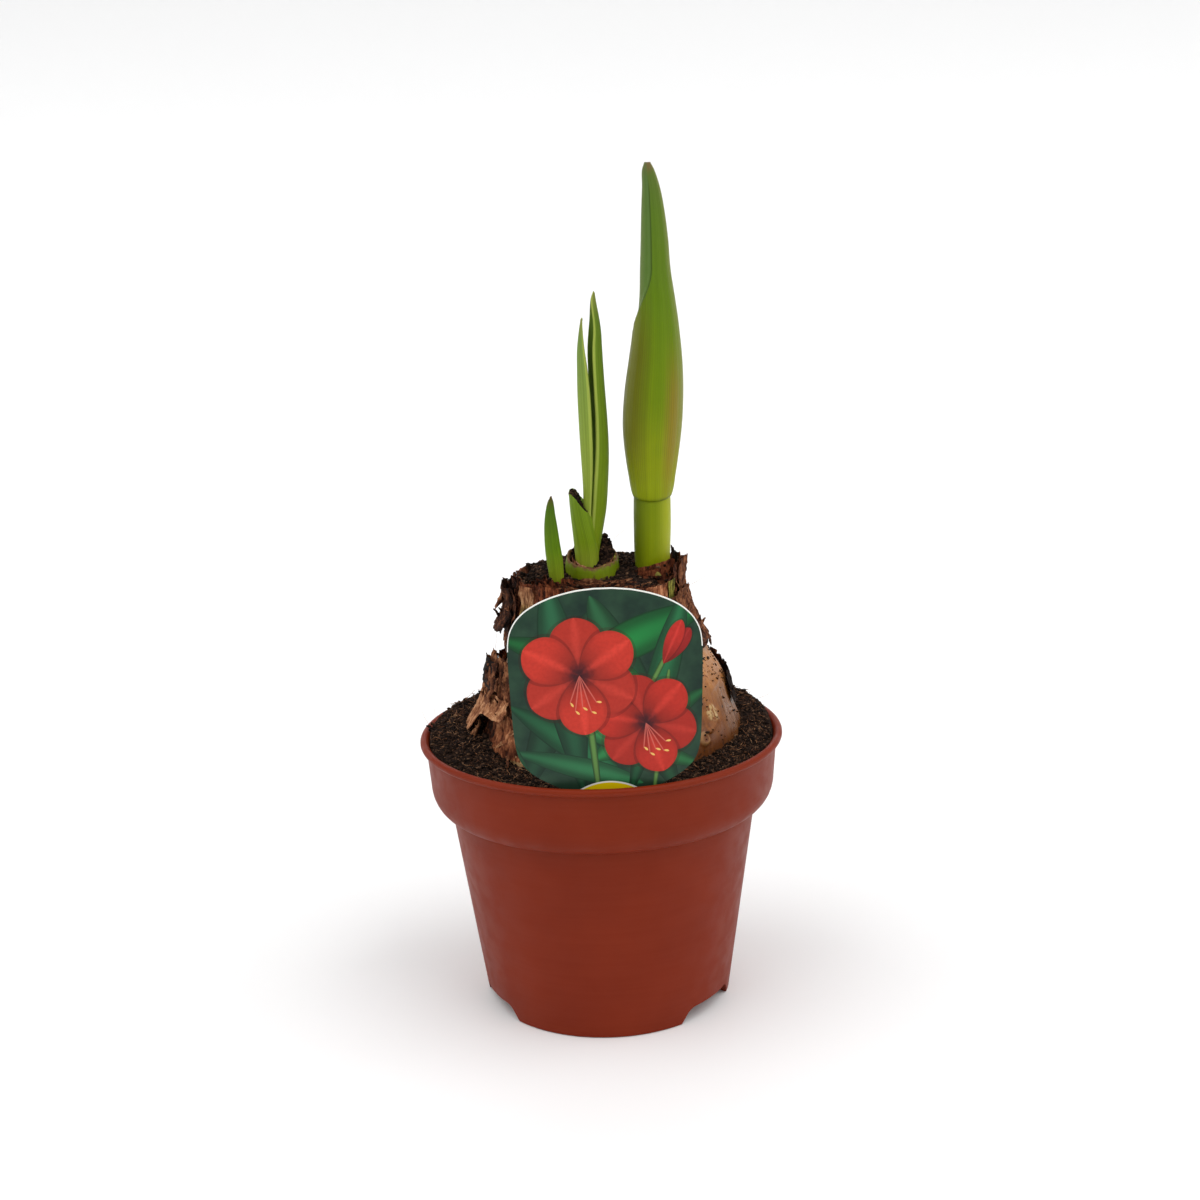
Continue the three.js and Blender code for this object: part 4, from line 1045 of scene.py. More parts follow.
# The label's picture, in millimetres across and up the card
BLOOMS = [
    ((12.5, 120.0), 17.5, 18, (186, 46, 34)),
    ((-8.5, 136.5), 20.0, 4, (198, 54, 40)),
]
STAMENS = [(246, 0.5), (258, 0.62), (270, 0.56), (282, 0.66), (296, 0.54)]
BUD_STEMS = [((14, 92), 82, 46, 2.2), ((-3, 92), 95, 40, 2.6), ((12, 128), 62, 17, 2.0)]
PRINTED_BUDS = [
    ((18.6, 139.5), 52, 14.5, 5.6, (150, 34, 32)),
    ((18.6, 139.5), 66, 15.5, 5.4, (188, 46, 38)),
]
BLADES = [
    ((-30, 92), 68, 72, 13, (26, 56, 38)),
    ((24, 92), 112, 76, 14, (28, 64, 40)),
    ((-36, 150), -18, 50, 12, (22, 84, 40)),
    ((36, 160), 204, 48, 13, (22, 88, 42)),
    ((-33, 128), -34, 44, 10, (26, 70, 44)),
    ((34, 132), 212, 46, 10, (30, 84, 46)),
    ((-8, 94), 98, 74, 13, (28, 66, 44)),
    ((-33, 112), -16, 46, 8, (34, 82, 52)),
    ((33, 104), 160, 46, 9, (36, 90, 50)),
    ((6, 93), 74, 72, 10, (26, 72, 44)),
    ((-22, 93), 122, 44, 9, (30, 78, 48)),
]
DISC = SimpleNamespace(height=81.8, radius=18.5, border=0.55)


# Pot


def arc(middle, radius, start, end, steps):
    """Points of an arc in the pot's half section, as (radius, height)."""
    points = []
    for step in range(steps + 1):
        angle = math.radians(mix(start, end, step / steps))
        points.append((middle[0] + radius * math.cos(angle), middle[1] + radius * math.sin(angle)))
    return points


def pot_profile():
    """The pot's half section, from the middle of its underside round the lip to the middle of its floor."""
    turn_in = POT.band_turn_radius - POT.body_top_radius - 0.6
    turn_down = POT.band_turn - POT.band_foot

    def wall(inset):
        points = [(POT.foot_radius - inset, 2.0), (POT.body_top_radius - inset, POT.band_foot - 0.2)]
        for step in range(9):
            angle = math.radians(90 - step * 90 / 8)
            radius = POT.band_turn_radius - turn_in * (1 - math.cos(angle)) - inset
            points.append((radius, POT.band_turn - turn_down * math.sin(angle)))
        points.append((POT.band_top[0] - inset, POT.band_top[1]))
        return points

    outside = wall(0)
    foot = [(0, POT.floor_height), (POT.foot_radius - 1.5, POT.floor_height), (POT.foot_radius - 2.4, 0.3)]
    foot += [(POT.foot_radius - 2.1, 0), (POT.foot_radius - 0.9, 0), (POT.foot_radius - 0.25, 0.3)]
    lip = arc((POT.rim_radius - 1.3, POT.height - 1.4), 1.3, -75, 100, 8)
    lip_foot = [(POT.band_top[0] + 0.25, POT.band_top[1] + 0.12)]
    lip_inside = [(POT.rim_radius - 2.1, POT.height - 0.35), (POT.band_top[0] - 0.75, POT.height - 1.1)]
    inside = wall(POT.wall)[::-1][:-1]
    floor = [(POT.foot_radius - POT.wall, POT.floor_height + POT.wall), (0, POT.floor_height + POT.wall)]
    return foot + outside[1:] + lip_foot + lip + lip_inside + inside + floor


def spun(profile, sides):
    """A closed body from a half section that starts and ends on the axis."""
    shape = bmesh.new()
    verts = [shape.verts.new((radius, 0, height)) for radius, height in profile]
    edges = [shape.edges.new(pair) for pair in zip(verts, verts[1:])]
    bmesh.ops.spin(
        shape,
        geom=verts + edges,
        cent=(0, 0, 0),
        axis=(0, 0, 1),
        angle=2 * math.pi,
        steps=sides,
        use_merge=True,
    )
    bmesh.ops.remove_doubles(shape, verts=shape.verts[:], dist=1e-3)
    bmesh.ops.recalc_face_normals(shape, faces=shape.faces[:])
    return shape


def cut_away(shape, cutters):
    """Takes the cutters away from a shape, both in millimetres."""
    objects = []
    for name, body in (("shape", shape), ("cutters", cutters)):
        mesh = bpy.data.meshes.new(name)
        body.to_mesh(mesh)
        body.free()
        holder = bpy.data.objects.new(name, mesh)
        bpy.context.scene.collection.objects.link(holder)
        objects.append(holder)
    target, tools = objects
    difference = target.modifiers.new("cut", "BOOLEAN")
    difference.operation = "DIFFERENCE"
    difference.solver = "EXACT"
    difference.object = tools
    graph = bpy.context.evaluated_depsgraph_get()
    graph.update()
    result = bmesh.new()
    result.from_mesh(target.evaluated_get(graph).to_mesh())
    for holder in objects:
        bpy.data.objects.remove(holder)
    bmesh.ops.remove_doubles(result, verts=result.verts[:], dist=1e-3)
    return result


def foot_gap():
    """The block that a gap between two feet is cut with: narrower at its top, with round corners there."""
    foot_half = POT.foot_radius * math.tan(math.radians(POT.gap_foot_width / 2))
    top_half = POT.foot_radius * math.tan(math.radians(POT.gap_top_width / 2))
    block = bmesh.new()
    bmesh.ops.create_cube(block, size=2)
    for vert in block.verts:
        height = POT.gap_height if vert.co.z > 0 else -2.0
        half = mix(foot_half, top_half, height / POT.gap_height)
        vert.co = Vector((POT.foot_radius + 7 * vert.co.x, half * vert.co.y, height))
    corners = []
    for edge in block.edges:
        start, end = edge.verts
        if start.co.z > 0 and end.co.z > 0 and abs(start.co.x - end.co.x) > 1:
            corners.append(edge)
    bmesh.ops.bevel(
        block,
        geom=corners,
        offset=POT.gap_corner,
        offset_type="OFFSET",
        affect="EDGES",
        segments=5,
        profile=0.5,
        material=-1,
    )
    return block


def drain_hole():
    hole = bmesh.new()
    radius = POT.drain_radius
    bmesh.ops.create_cone(hole, segments=32, radius1=radius, radius2=radius, depth=8, cap_ends=True)
    return hole


def make_pot():
    cutters = Heap()
    for foot in range(POT.feet):
        turn = math.radians(POT.gap_angle + foot * 360 / POT.feet)
        cutters.add(foot_gap(), Matrix.Rotation(turn, 4, "Z"))
    for hole in range(POT.drain_holes):
        turn = math.radians(POT.gap_angle + hole * 360 / POT.drain_holes)
        place = Matrix.Rotation(turn, 4, "Z") @ Matrix.Translation((POT.drain_circle, 0, POT.floor_height))
        cutters.add(drain_hole(), place)
    shape = cut_away(spun(pot_profile(), POT.sides), cutters.shape)
    return finished("terracotta_pot", shape, pot_plastic(), "pot_plastic", "pot", sharp=38)


# Potting mix


def soil_height(x, y):
    """Height of the mix in the pot: banked up behind the bulb, lower in front of it."""
    radius = math.hypot(x, y)
    right = ramp(x, 10, 40) * ramp(y, -4, 14)
    left = ramp(-x, 20, 45) * ramp(y, -16, -4)
    spread = 5 * right + 2.5 * left
    banked = 2.2 * ramp(y, -18, 34)
    heaped = 4.6 * ramp(y, -46, 15) * (1 - ramp(radius, 52 + spread, 64 + spread))
    front_left = ramp(-x, 16, 40) * ramp(y, -38, -22) * (1 - ramp(y, -10, 10))
    lower = 2.6 * front_left * (1 - ramp(radius, 48, 62))
    lumps = grain(x / SOIL.lump_size, y / SOIL.lump_size, 4) + 0.5 * grain(x * 0.9, y * 0.9, 8)
    at_wall = 1 - 0.7 * ramp(radius, 58, 62)
    return SOIL.edge + banked + heaped + lower + SOIL.lump * lumps * at_wall


def make_soil():
    """The whole fill of the pot, with a fine lumpy top."""
    inset = POT.wall - 0.05
    edge_radius = POT.band_turn_radius + 0.95 - inset
    sides = [(0.0, SOIL.foot), (POT.foot_radius - inset - 0.6, SOIL.foot)]
    sides += [(POT.body_top_radius - inset, POT.band_foot), (POT.band_turn_radius - inset, POT.band_turn)]
    top_rows = 70
    inner = 32.0
    rows = len(sides) + top_rows

    def place(turn, t):
        row = round(t * rows)
        if row < len(sides):
            radius, height = sides[row]
            return Vector((radius * math.cos(turn), radius * math.sin(turn), height))
        share = (row - len(sides)) / top_rows
        radius = mix(edge_radius, inner, share) if share < 1 else 0.0
        x, y = radius * math.cos(turn), radius * math.sin(turn)
        crumbs = 0.45 * grain(x * 1.1, y * 1.1, 2) + 0.4 * abs(grain(x * 2.1, y * 2.1, 5))
        return Vector((x, y, soil_height(x, y) + crumbs))

    return placed_grid(480, rows, place, closed=True)


def crumb_templates(shapes=5, tones=(0.08, 0.18, 0.28, 0.36, 0.44, 0.54, 0.72)):
    """A few misshapen grains in each tone, as meshes, from the darkest to the palest."""
    templates = []
    for tone in tones:
        for index in range(shapes):
            shape = bmesh.new()
            bmesh.ops.create_icosphere(shape, subdivisions=1, radius=1.0)
            shape.verts.layers.float_vector.new("lie")
            mark_all(shape, (0.5, 0.0, tone))
            for vert in shape.verts:
                vert.co *= 1 + 0.5 * noise.noise(vert.co * 1.3 + Vector((index * 5.1, 0, 0)))
            mesh = bpy.data.meshes.new("grain")
            shape.to_mesh(mesh)
            shape.free()
            templates.append(mesh)
    return templates


def strew(heap, templates, draw, spots, sizes, sunk=0.25):
    """Lays a grain on each spot, turned at random and a little flattened; pale grains are rare."""
    for spot, normal in spots:
        size = draw.uniform(*sizes) * (1.0 if draw.random() < 0.85 else 1.6)
        length, width = size * draw.uniform(0.75, 1.6), size * draw.uniform(0.55, 1.1)
        stretch = (length, width, size * draw.uniform(0.5, 0.9))
        spin = Matrix.Rotation(draw.uniform(0, 2 * math.pi), 4, "Z")
        turn = spin @ Matrix.Rotation(draw.uniform(-0.8, 0.8), 4, "X")
        lift = Matrix.Translation(spot + normal * (size * (0.5 - sunk)))
        template = templates[int(len(templates) * draw.random() ** 1.7)]
        heap.scatter(template, lift @ turn @ Matrix.Diagonal((*stretch, 1.0)))


def hair(heap, points, radius, steps=8, tone=0.5):
    """A thin root or fibre along a few points, pointed at its end."""

    def at(t):
        place = t * (len(points) - 1)
        index = min(int(place), len(points) - 2)
        before = points[max(index - 1, 0)]
        after = points[min(index + 2, len(points) - 1)]
        return spline(before, points[index], points[index + 1], after, place - index)

    def place(turn, t):
        heading = (at(min(t + 0.02, 1)) - at(max(t - 0.02, 0))).normalized()
        side = heading.orthogonal().normalized()
        other = heading.cross(side)
        thick = radius * (1 - 0.6 * t) * (0 if t in (0, 1) else 1)
        return at(t) + (side * math.cos(turn) + other * math.sin(turn)) * thick, (0.5, 0.2, tone)

    heap.add(placed_grid(3, steps, place, closed=True))


def spline(before, start, end, after, t):
    """A point between start and end on a smooth curve through all four."""
    return 0.5 * (
        2 * start
        + (end - before) * t
        + (2 * before - 5 * start + 4 * end - after) * t * t
        + (3 * start - before - 3 * end + after) * t**3
    )


def loose_hair(heap, draw, foot, length, radius, heading=None, droop=0.4, wander=0.6, tone=None):
    """A fibre that springs from its foot in a wandering curve."""
    way = heading or Vector((draw.uniform(-1, 1), draw.uniform(-1, 1), draw.uniform(0.05, 0.7)))
    way = way.normalized()
    points = [foot]
    for _ in range(4):
        points.append(points[-1] + way * (length / 4))
        aside = (draw.uniform(-wander, wander), draw.uniform(-wander, wander))
        bend = Vector((*aside, draw.uniform(-droop, 0.35)))
        way = (way + bend).normalized()
    hair(heap, points, radius, 6, draw.uniform(0.35, 0.95) if tone is None else tone)


# Bulb


def on_bulb(turn, height, offset=0.0):
    """A point at an angle and height, standing off the bulb's skin by an offset."""
    radius, shift = read(BULB, height)
    swell = 1 + 0.012 * math.sin(2 * turn + 0.7) + 0.008 * math.sin(5 * turn + 2)
    reach = radius * swell + offset
    return Vector((shift + reach * math.cos(turn), reach * math.sin(turn), height))


def bump_at(turn, height, spot, size):
    """1 at a spot on the bulb given as (degrees, height), falling to 0 at its size in millimetres."""
    across = (math.degrees(turn) - spot[0] + 180) % 360 - 180
    reach = math.hypot(across * DEGREE_ON_SKIN, height - spot[1])
    return 1 - ramp(reach, 0, size)


def bulb_mark(spot):
    """Where a mark at (degrees, height) lies on the bulb, in metres."""
    return tuple(on_bulb(math.radians(spot[0]), spot[1]) * MM)


def ridge_at(turn, height, spots, width):
    """1 on a bent line over the bulb through (degrees, height) spots, falling to 0 at its half width."""
    here = Vector((math.degrees(turn) % 360 * DEGREE_ON_SKIN, height))
    nearest = width
    for start, end in zip(spots, spots[1:]):
        first = Vector((start[0] * DEGREE_ON_SKIN, start[1]))
        along = Vector((end[0] * DEGREE_ON_SKIN, end[1])) - first
        share = min(max((here - first).dot(along) / along.length_squared, 0.0), 1.0)
        nearest = min(nearest, (first + along * share - here).length)
    return 1 - ramp(nearest, 0, width)


def bulb_relief(turn, height):
    """Soft dents, a wrinkle, a blister with a fold below it and a round scar on the bulb's skin."""
    around = Vector((math.cos(turn) * 2.4, math.sin(turn) * 2.4, height / 60))
    ribs = 0.35 * noise.noise(around * 4) + 0.12 * noise.noise(around * 11)
    dents = 0.8 * noise.noise(Vector((around.x, around.y, height / 14)))
    if height < 98 or not 4.9 < turn % (2 * math.pi) < 6.27:
        return ribs + dents
    fold = 1.0 * ridge_at(turn, height, BLISTER_FOLD, 1.5)
    under = -0.6 * ridge_at(turn, height, [(spot[0], spot[1] - 1.7) for spot in BLISTER_FOLD], 1.6)
    plate = 0.5 * bump_at(turn, height, BLISTER, 3.8) + 0.3 * bump_at(turn, height, (327, 112.6), 1.6)
    cracks = abs(noise.noise(Vector((math.degrees(turn) * 0.8, height * 0.9, 3))))
    crackle = 0.4 * cracks * bump_at(turn, height, BLISTER, 4)
    rim = bump_at(turn, height, SCAR, 3.0) - bump_at(turn, height, SCAR, 1.9)
    scar = 1.1 * bump_at(turn, height, SCAR, 3.4) + 1.2 * rim - 0.6 * bump_at(turn, height, SCAR, 0.9)
    wrinkle = 0.55 * ridge_at(turn, height, WRINKLE, 1.5)
    split = -0.4 * (1 - ramp(abs(math.degrees(turn) % 360 - 352 - 0.25 * (height - 110)), 0, 1.6))
    return ribs + dents + fold + under + plate + crackle + scar + wrinkle + split * ramp(height, 98, 104)


def make_bulb():
    foot, top = BULB[0][0], NOSE.top
    rows = 150
    buried_rows = 36

    def place(turn, t):
        row = min(max(t * rows - 1, 0), rows - 2)
        if row < buried_rows:
            height = mix(foot, 92, row / buried_rows)
        else:
            height = mix(92, top, (row - buried_rows) / (rows - 2 - buried_rows))
        if t in (0, 1):
            return Vector((read(BULB, height)[1], 0, height))
        return on_bulb(turn, height, bulb_relief(turn, height))

    heap = Heap()
    heap.add(placed_grid(340, rows, place, closed=True))
    draw = random.Random(5)
    for index in range(9):
        angle = index * 2 * math.pi / 9 + draw.uniform(-0.2, 0.2)
        away = Vector((math.cos(angle), math.sin(angle), 0))
        start = Vector((3, 0, foot + 3)) + away * 9
        points = [start, start + away * 4 - Vector((0, 0, 8)), start + away * 11 - Vector((0, 0, 17))]
        points.append(start + away * 17 - Vector((0, 0, draw.uniform(20, 27))))
        hair(heap, points, 1.9, 12)
    return heap.shape


# Dry scales


def dry_scale(
    heap, draw, start, end, near, far, foot, top, torn, flare,
    tone=None, hue=(0.3, 0.3), lift=0.0, folds=0.9, fold_size=3.2, thick=0.4,
):
    """One torn scale over the bulb's skin, between two angles, crumpled, with a ragged top.

    Its tone runs from 0, almost black, to 1, pale tan. Its hue, given for its foot and its top, runs from
    -1, yellow-green, to 1, red-brown. A lift raises its foot over the second half of its width."""
    radius = read(BULB, (foot + top) / 2)[0] + near
    arc_length = radius * math.radians(end - start)
    columns = max(int(arc_length / 0.55), 8)
    rows = max(int((top - foot) / 0.7), 6)
    seed = draw.uniform(0, 90)
    own_tone = draw.uniform(0.2, 0.7) if tone is None else tone

    def place(s, t):
        across = s * arc_length
        rag = torn * ragged(across, seed)
        low = foot + lift * ramp(s, 0.35, 0.7) + (0.7 * rag if flare < 0 else 0)
        height = mix(low, top + rag, t)
        edge = 1.6 * ragged(t * rows * 0.75, seed + 4) * (2 * s - 1) ** 3
        turn = math.radians(mix(start, end, s) + edge)
        curl = flare * t * t if flare >= 0 else -flare * (1 - t) ** 2
        fold = crumple(Vector((across, height * 0.4, seed)), fold_size, folds)
        fine = 0.35 * grain(across * 1.6, height * 0.25, seed)
        loose = 0.4 + 0.6 * ramp(t, 0.0, 0.35)
        point = on_bulb(turn, height, mix(near, far, s) + curl + (fold + fine) * loose + 0.3)
        # How far the point stands out of its folds, which the material paints as shade in the hollows and
        # highlight on the ridges.
        crease = min(max(0.62 + 0.5 * fold / folds, 0.0), 1.0)
        return point, (crease, mix(*hue, t), own_tone)

    shape = placed_grid(columns, rows, place)
    bmesh.ops.solidify(shape, geom=shape.faces[:], thickness=thick)
    heap.add(shape)


def shred(heap, draw, root, out, up, length, width, curl, tones=(0.1, 0.75)):
    """A narrow torn strip that stands off its root and curls."""
    side = out.cross(up).normalized()
    seed = draw.uniform(0, 90)
    lean = draw.uniform(-0.35, 0.35)
    tone = draw.uniform(*tones)

    def place(s, t):
        half = 0.5 * width * (1 - 0.75 * t**1.5) * (1 + 0.4 * grain(t * 4, seed))
        away = curl * t * t + 0.4 * grain(t * 3, seed, 4)
        cup = 0.3 * width * (2 * s - 1) ** 2
        sway = lean * length * t + 0.5 * grain(t * 3, seed, 9)
        point = root + up * (length * t) + side * ((2 * s - 1) * half + sway) + out * (away + cup)
        # The strip's curled-up sides get painted highlight and its middle painted shade.
        return point, (0.4 + 0.4 * abs(2 * s - 1), 0.3, tone)

    shape = placed_grid(3, 7, place)
    bmesh.ops.solidify(shape, geom=shape.faces[:], thickness=0.25)
    heap.add(shape)


def shreds_on_bulb(
    heap, draw, count, angles, heights, offsets, lengths, widths, curls, down=0.2, tones=(0.1, 0.6)
):
    """Torn strips that spring from the bulb's skins, leaning either way."""
    for _ in range(count):
        turn = math.radians(draw.uniform(*angles))
        height = draw.uniform(*heights)
        root = on_bulb(turn, height, draw.uniform(*offsets))
        out = Vector((math.cos(turn), math.sin(turn), 0.25)).normalized()
        lean = Vector((-math.sin(turn), math.cos(turn), 0)) * draw.uniform(-0.9, 0.9)
        up = (lean + Vector((0, 0, -1 if draw.random() < down else 1))).normalized()
        measures = (draw.uniform(*lengths), draw.uniform(*widths), draw.uniform(*curls))
        shred(heap, draw, root, out, up, *measures, tones)


def make_left_tunic(draw):
    heap = Heap()
    for measures, look in (LEFT_SKIN_IN_PAINTED_SHADE, *LEFT_FLAKES):
        dry_scale(heap, draw, *measures, **look)
    shreds_on_bulb(
        heap, draw, 8, (180, 196), (104, 108), (5, 6.5), (4, 7), (1.2, 2.4),
        (1.5, 3.5), 1.0, (0.4, 0.7)
    )
    shreds_on_bulb(
        heap, draw, 7, (206, 226), (101, 112), (3, 4.2), (3, 6), (1, 2),
        (0.5, 2.5), 0.6, (0.4, 0.7)
    )
    shreds_on_bulb(heap, draw, 14, (178, 216), (112, 125), (3.5, 6), (3, 6), (1.4, 3), (-0.5, 2.5), 0.4)
    return heap


def make_back_tunic(draw):
    heap = Heap()
    for measures, look in (BACK_SKIN, *BACK_FLAKES):
        dry_scale(heap, draw, *measures, **look)
    for _ in range(9):
        start = draw.uniform(20, 150)
        foot = draw.uniform(100, 114)
        width = draw.uniform(8, 18)
        stand = draw.uniform(0.8, 2.8)
        top = foot + draw.uniform(6, 12)
        far = stand + draw.uniform(-1, 1)
        dry_scale(heap, draw, start, start + width, stand, far, foot, top, 2.0, draw.uniform(-2, 2.4))
    shreds_on_bulb(heap, draw, 16, (14, 166), (104, 122), (0.8, 3), (2.5, 6), (1.2, 2.8), (-0.4, 2.6), 0.4)
    shreds_on_bulb(
        heap, draw, 5, (352, 372), (109, 119), (0.6, 1.4), (1, 2), (1.2, 2.4),
        (-0.2, 0.9), 0.6, (-0.3, 0.05)
    )
    return heap


def neck_wall(heap):
    """The ragged wall round the neck, with the cap over the nose that carries it."""
    rows_at = [
        (NOSE.top + 0.3, 0),
        (NOSE.top + 0.3, NECK.inner),
        (NECK.foot, NECK.inner),
        (NECK.foot, NECK.outer),
        (NOSE.top, NECK.outer + 0.5),
        (NECK.wall_top, NECK.outer + 0.7),
        (NECK.wall_top, NECK.outer - 0.2),
        (NOSE.cap, NECK.outer - 0.9),
        (NOSE.cap, 0),
    ]
    steps = [1, 1, 1, 22, 8, 1, 4, 1]
    track = [rows_at[0]]
    for (low, high), count in zip(zip(rows_at, rows_at[1:]), steps):
        for step in range(1, count + 1):
            track.append((mix(low[0], high[0], step / count), mix(low[1], high[1], step / count)))

    def place(turn, t):
        row = round(t * (len(track) - 1))
        height, offset = track[row]
        if row in (0, len(track) - 1):
            return Vector((0, 0, height))
        share = ramp(height, NOSE.cap, NECK.wall_top)
        spot = Vector((math.cos(turn) * 27, math.sin(turn) * 27, height * 0.35))
        fold = crumple(spot, 3.2, 0.9) if row > 3 else 0.0
        rag = NECK.torn * ragged(turn * 27, 3.3) - NECK.front_drop * ramp(-math.sin(turn), 0.1, 0.7)
        wave = 0.6 * math.sin(7 * turn) * share
        point = on_bulb(turn, height, offset + wave + fold)
        point.z = height + share * rag
        # The first number paints shade in the hollows of the folds and highlight on their ridges.
        return point, (min(max(0.62 + 0.55 * fold, 0.0), 1.0), 0.5, 0.26)

    heap.add(placed_grid(300, len(track) - 1, place, closed=True))


def nose_ridge(
    heap, draw, radius, start, end, top,
    top_end=None, tone=None, hue=0.5, thick=0.4, torn=0.7, folds=0.45, foot=NOSE.cap - 1.5, centre=(0, 0),
):
    """The cut edge of an older scale, curved across the nose."""
    arc_length = radius * math.radians(end - start)
    columns = max(int(arc_length / 0.5), 6)
    seed = draw.uniform(0, 90)
    own_tone = draw.uniform(0.15, 0.75) if tone is None else tone

    def place(s, t):
        across = s * arc_length
        ends = 1 - (2 * s - 1) ** 6
        level = top if top_end is None else mix(top, top_end, s)
        high = mix(NOSE.cap - 0.4, level + torn * ragged(across, seed), ends)
        turn = math.radians(mix(start, end, s))
        height = mix(foot, high, t)
        fold = crumple(Vector((across, height * 0.5, seed)), 2.6, folds, 2)
        reach = radius + 0.6 * t * t + fold
        point = Vector((centre[0] + reach * math.cos(turn), centre[1] + reach * math.sin(turn), height))
        # The first number paints shade in the hollows of the folds and highlight on their ridges.
        return point, (min(max(0.6 + 0.5 * fold / folds, 0.0), 1.0), hue, own_tone)

    shape = placed_grid(columns, 8, place)
    bmesh.ops.solidify(shape, geom=shape.faces[:], thickness=thick)
    heap.add(shape)


def make_neck(draw):
    heap = Heap()
    neck_wall(heap)
    for measures, look in NECK_FLAKES:
        dry_scale(heap, draw, *measures, **look)
    for ridge in NOSE_RIDGES:
        nose_ridge(heap, draw, *ridge)
    for _ in range(44):
        radius = draw.uniform(11.0, 24.4)
        start = draw.uniform(205, 290)
        top = mix(157.2, 155.2, (radius - 11) / 13.4) + draw.uniform(-0.5, 0.7)
        tone = draw.uniform(0.1, 0.6)
        width = draw.uniform(18, 60)
        nose_ridge(heap, draw, radius, start, start + width, top, tone=tone, hue=0.4, thick=0.28, torn=0.35)
    for _ in range(12):
        start = draw.uniform(188, 226)
        radius = draw.uniform(17, 24)
        nose_ridge(
            heap, draw, radius, start, start + draw.uniform(12, 26), draw.uniform(156.4, 158.8),
            tone=draw.uniform(0.2, 0.5), hue=1.0, torn=1.2, folds=0.9,
        )
    for _ in range(10):
        radius = draw.uniform(14, 24)
        start = draw.uniform(60, 150)
        nose_ridge(heap, draw, radius, start, start + draw.uniform(15, 40), draw.uniform(156, 159), torn=1.1)
    wrap = STALK_SCALE
    centre = (STALK.x, STALK.y)
    layers = ((0, 0, 0.36, 1), (1.1, 1.8, 0.42, 1), (2.1, 3.6, 0.34, 0.8), (3.1, 5.0, 0.42, 0.6))
    for offset, drop, tone, hue in layers:
        nose_ridge(
            heap, draw, wrap.radius + offset, wrap.start + 4 * offset, wrap.end - 2 * offset, wrap.top - drop,
            top_end=wrap.top_end - drop, tone=tone, hue=hue, torn=0.6, folds=0.6, centre=centre,
        )
    nose_ridge(
        heap, draw, wrap.radius + 0.9, 232, 292, 158.3,
        tone=0.7, hue=-0.8, torn=0.3, folds=0.25, centre=centre,
    )
    for _ in range(26):
        start = draw.uniform(0, 360)
        width = draw.uniform(12, 34)
        stand = draw.uniform(1.0, 3.0)
        foot = draw.uniform(131, 146)
        top = min(foot + draw.uniform(7, 13), 155)
        far = stand + draw.uniform(-0.8, 1.2)
        hue = draw.uniform(0.2, 1.0)
        tone = draw.uniform(0.1, 0.5)
        flare = draw.uniform(-1.2, 2.0)
        dry_scale(
            heap, draw, start, start + width, stand, far, foot, top, 1.7, flare,
            tone=tone, hue=(hue, hue), folds=1.1, fold_size=2.6,
        )
    shreds_on_bulb(heap, draw, 34, (0, 360), (134, 152), (1.5, 3.8), (2, 4.5), (1.2, 2.8), (-0.5, 2.0), 0.4)
    shreds_on_bulb(
        heap, draw, 26, (168, 205), (142, 152), (4.5, 6.8), (1.5, 3.5),
        (1.4, 3), (-0.8, 1.6), 0.5, (0, 0.35)
    )
    shreds_on_bulb(
        heap, draw, 4, (198, 208), (154, 156), (3, 5.0), (2.5, 4), (0.5, 1),
        (-0.4, 0.6), 0.0, (-0.1, 0.1)
    )
    shreds_on_bulb(
        heap, draw, 10, (334, 370), (139, 157), (3.0, 5.0), (2, 4), (1.2, 2.6),
        (-0.6, 1.4), 0.5, (0.2, 0.65)
    )
    return heap


# Mix on the nose and in the ring


def nose_mix_height(x, y):
    reach = math.hypot(x, y)
    crumbs = grain(x / 3, y / 3, 1) + 0.5 * grain(x * 0.9, y * 0.9, 2)
    heap = 155.2 + 3.4 * ramp(y, -12, 8) + 0.8 * ramp(x, 4, 12) - 1.4 * ramp(reach, 19, 24)
    return heap + 0.8 * crumbs


def make_nose_mix():
    rows = 50
    edge = 24.2

    def place(turn, t):
        row = round(t * rows)
        if row == 0:
            return Vector((0, 0, NOSE.cap + 0.3))
        if row == 1:
            return Vector((edge * 0.97 * math.cos(turn), edge * 0.97 * math.sin(turn), NOSE.cap + 0.3))
        radius = edge * (1 - (row - 2) / (rows - 2))
        x, y = radius * math.cos(turn), radius * math.sin(turn)
        height = NOSE.cap + 0.9 if row == 2 else nose_mix_height(x, y) + 0.5 * abs(grain(x * 1.7, y * 1.7, 5))
        return Vector((x, y, height))

    return placed_grid(190, rows, place, closed=True)


def ring_mix_height(x, y):
    crumbs = grain(x / 1.6, y / 1.6, 5) + 0.5 * grain(x * 0.9, y * 0.9, 6)
    return mix(158.8, 168.4, ramp(y - 0.3 * abs(x - 4), -6, 6)) + 0.7 * crumbs


def make_ring_mix():
    rows = 22
    edge = RING.radius - RING.wall - 0.1

    def place(turn, t):
        row = round(t * rows)
        radius = edge * (0 if row == 0 else min(1, 1 - (row - 2) / (rows - 2)))
        x, y = radius * math.cos(turn), radius * math.sin(turn)
        surface = ring_mix_height(x, y) + 0.4 * abs(grain(x * 2, y * 2, 5))
        height = NOSE.pit_floor + 0.3 if row < 2 else surface
        return Vector((RING.x + x, RING.y + y, height))

    return placed_grid(90, rows, place, closed=True)


# Shoots


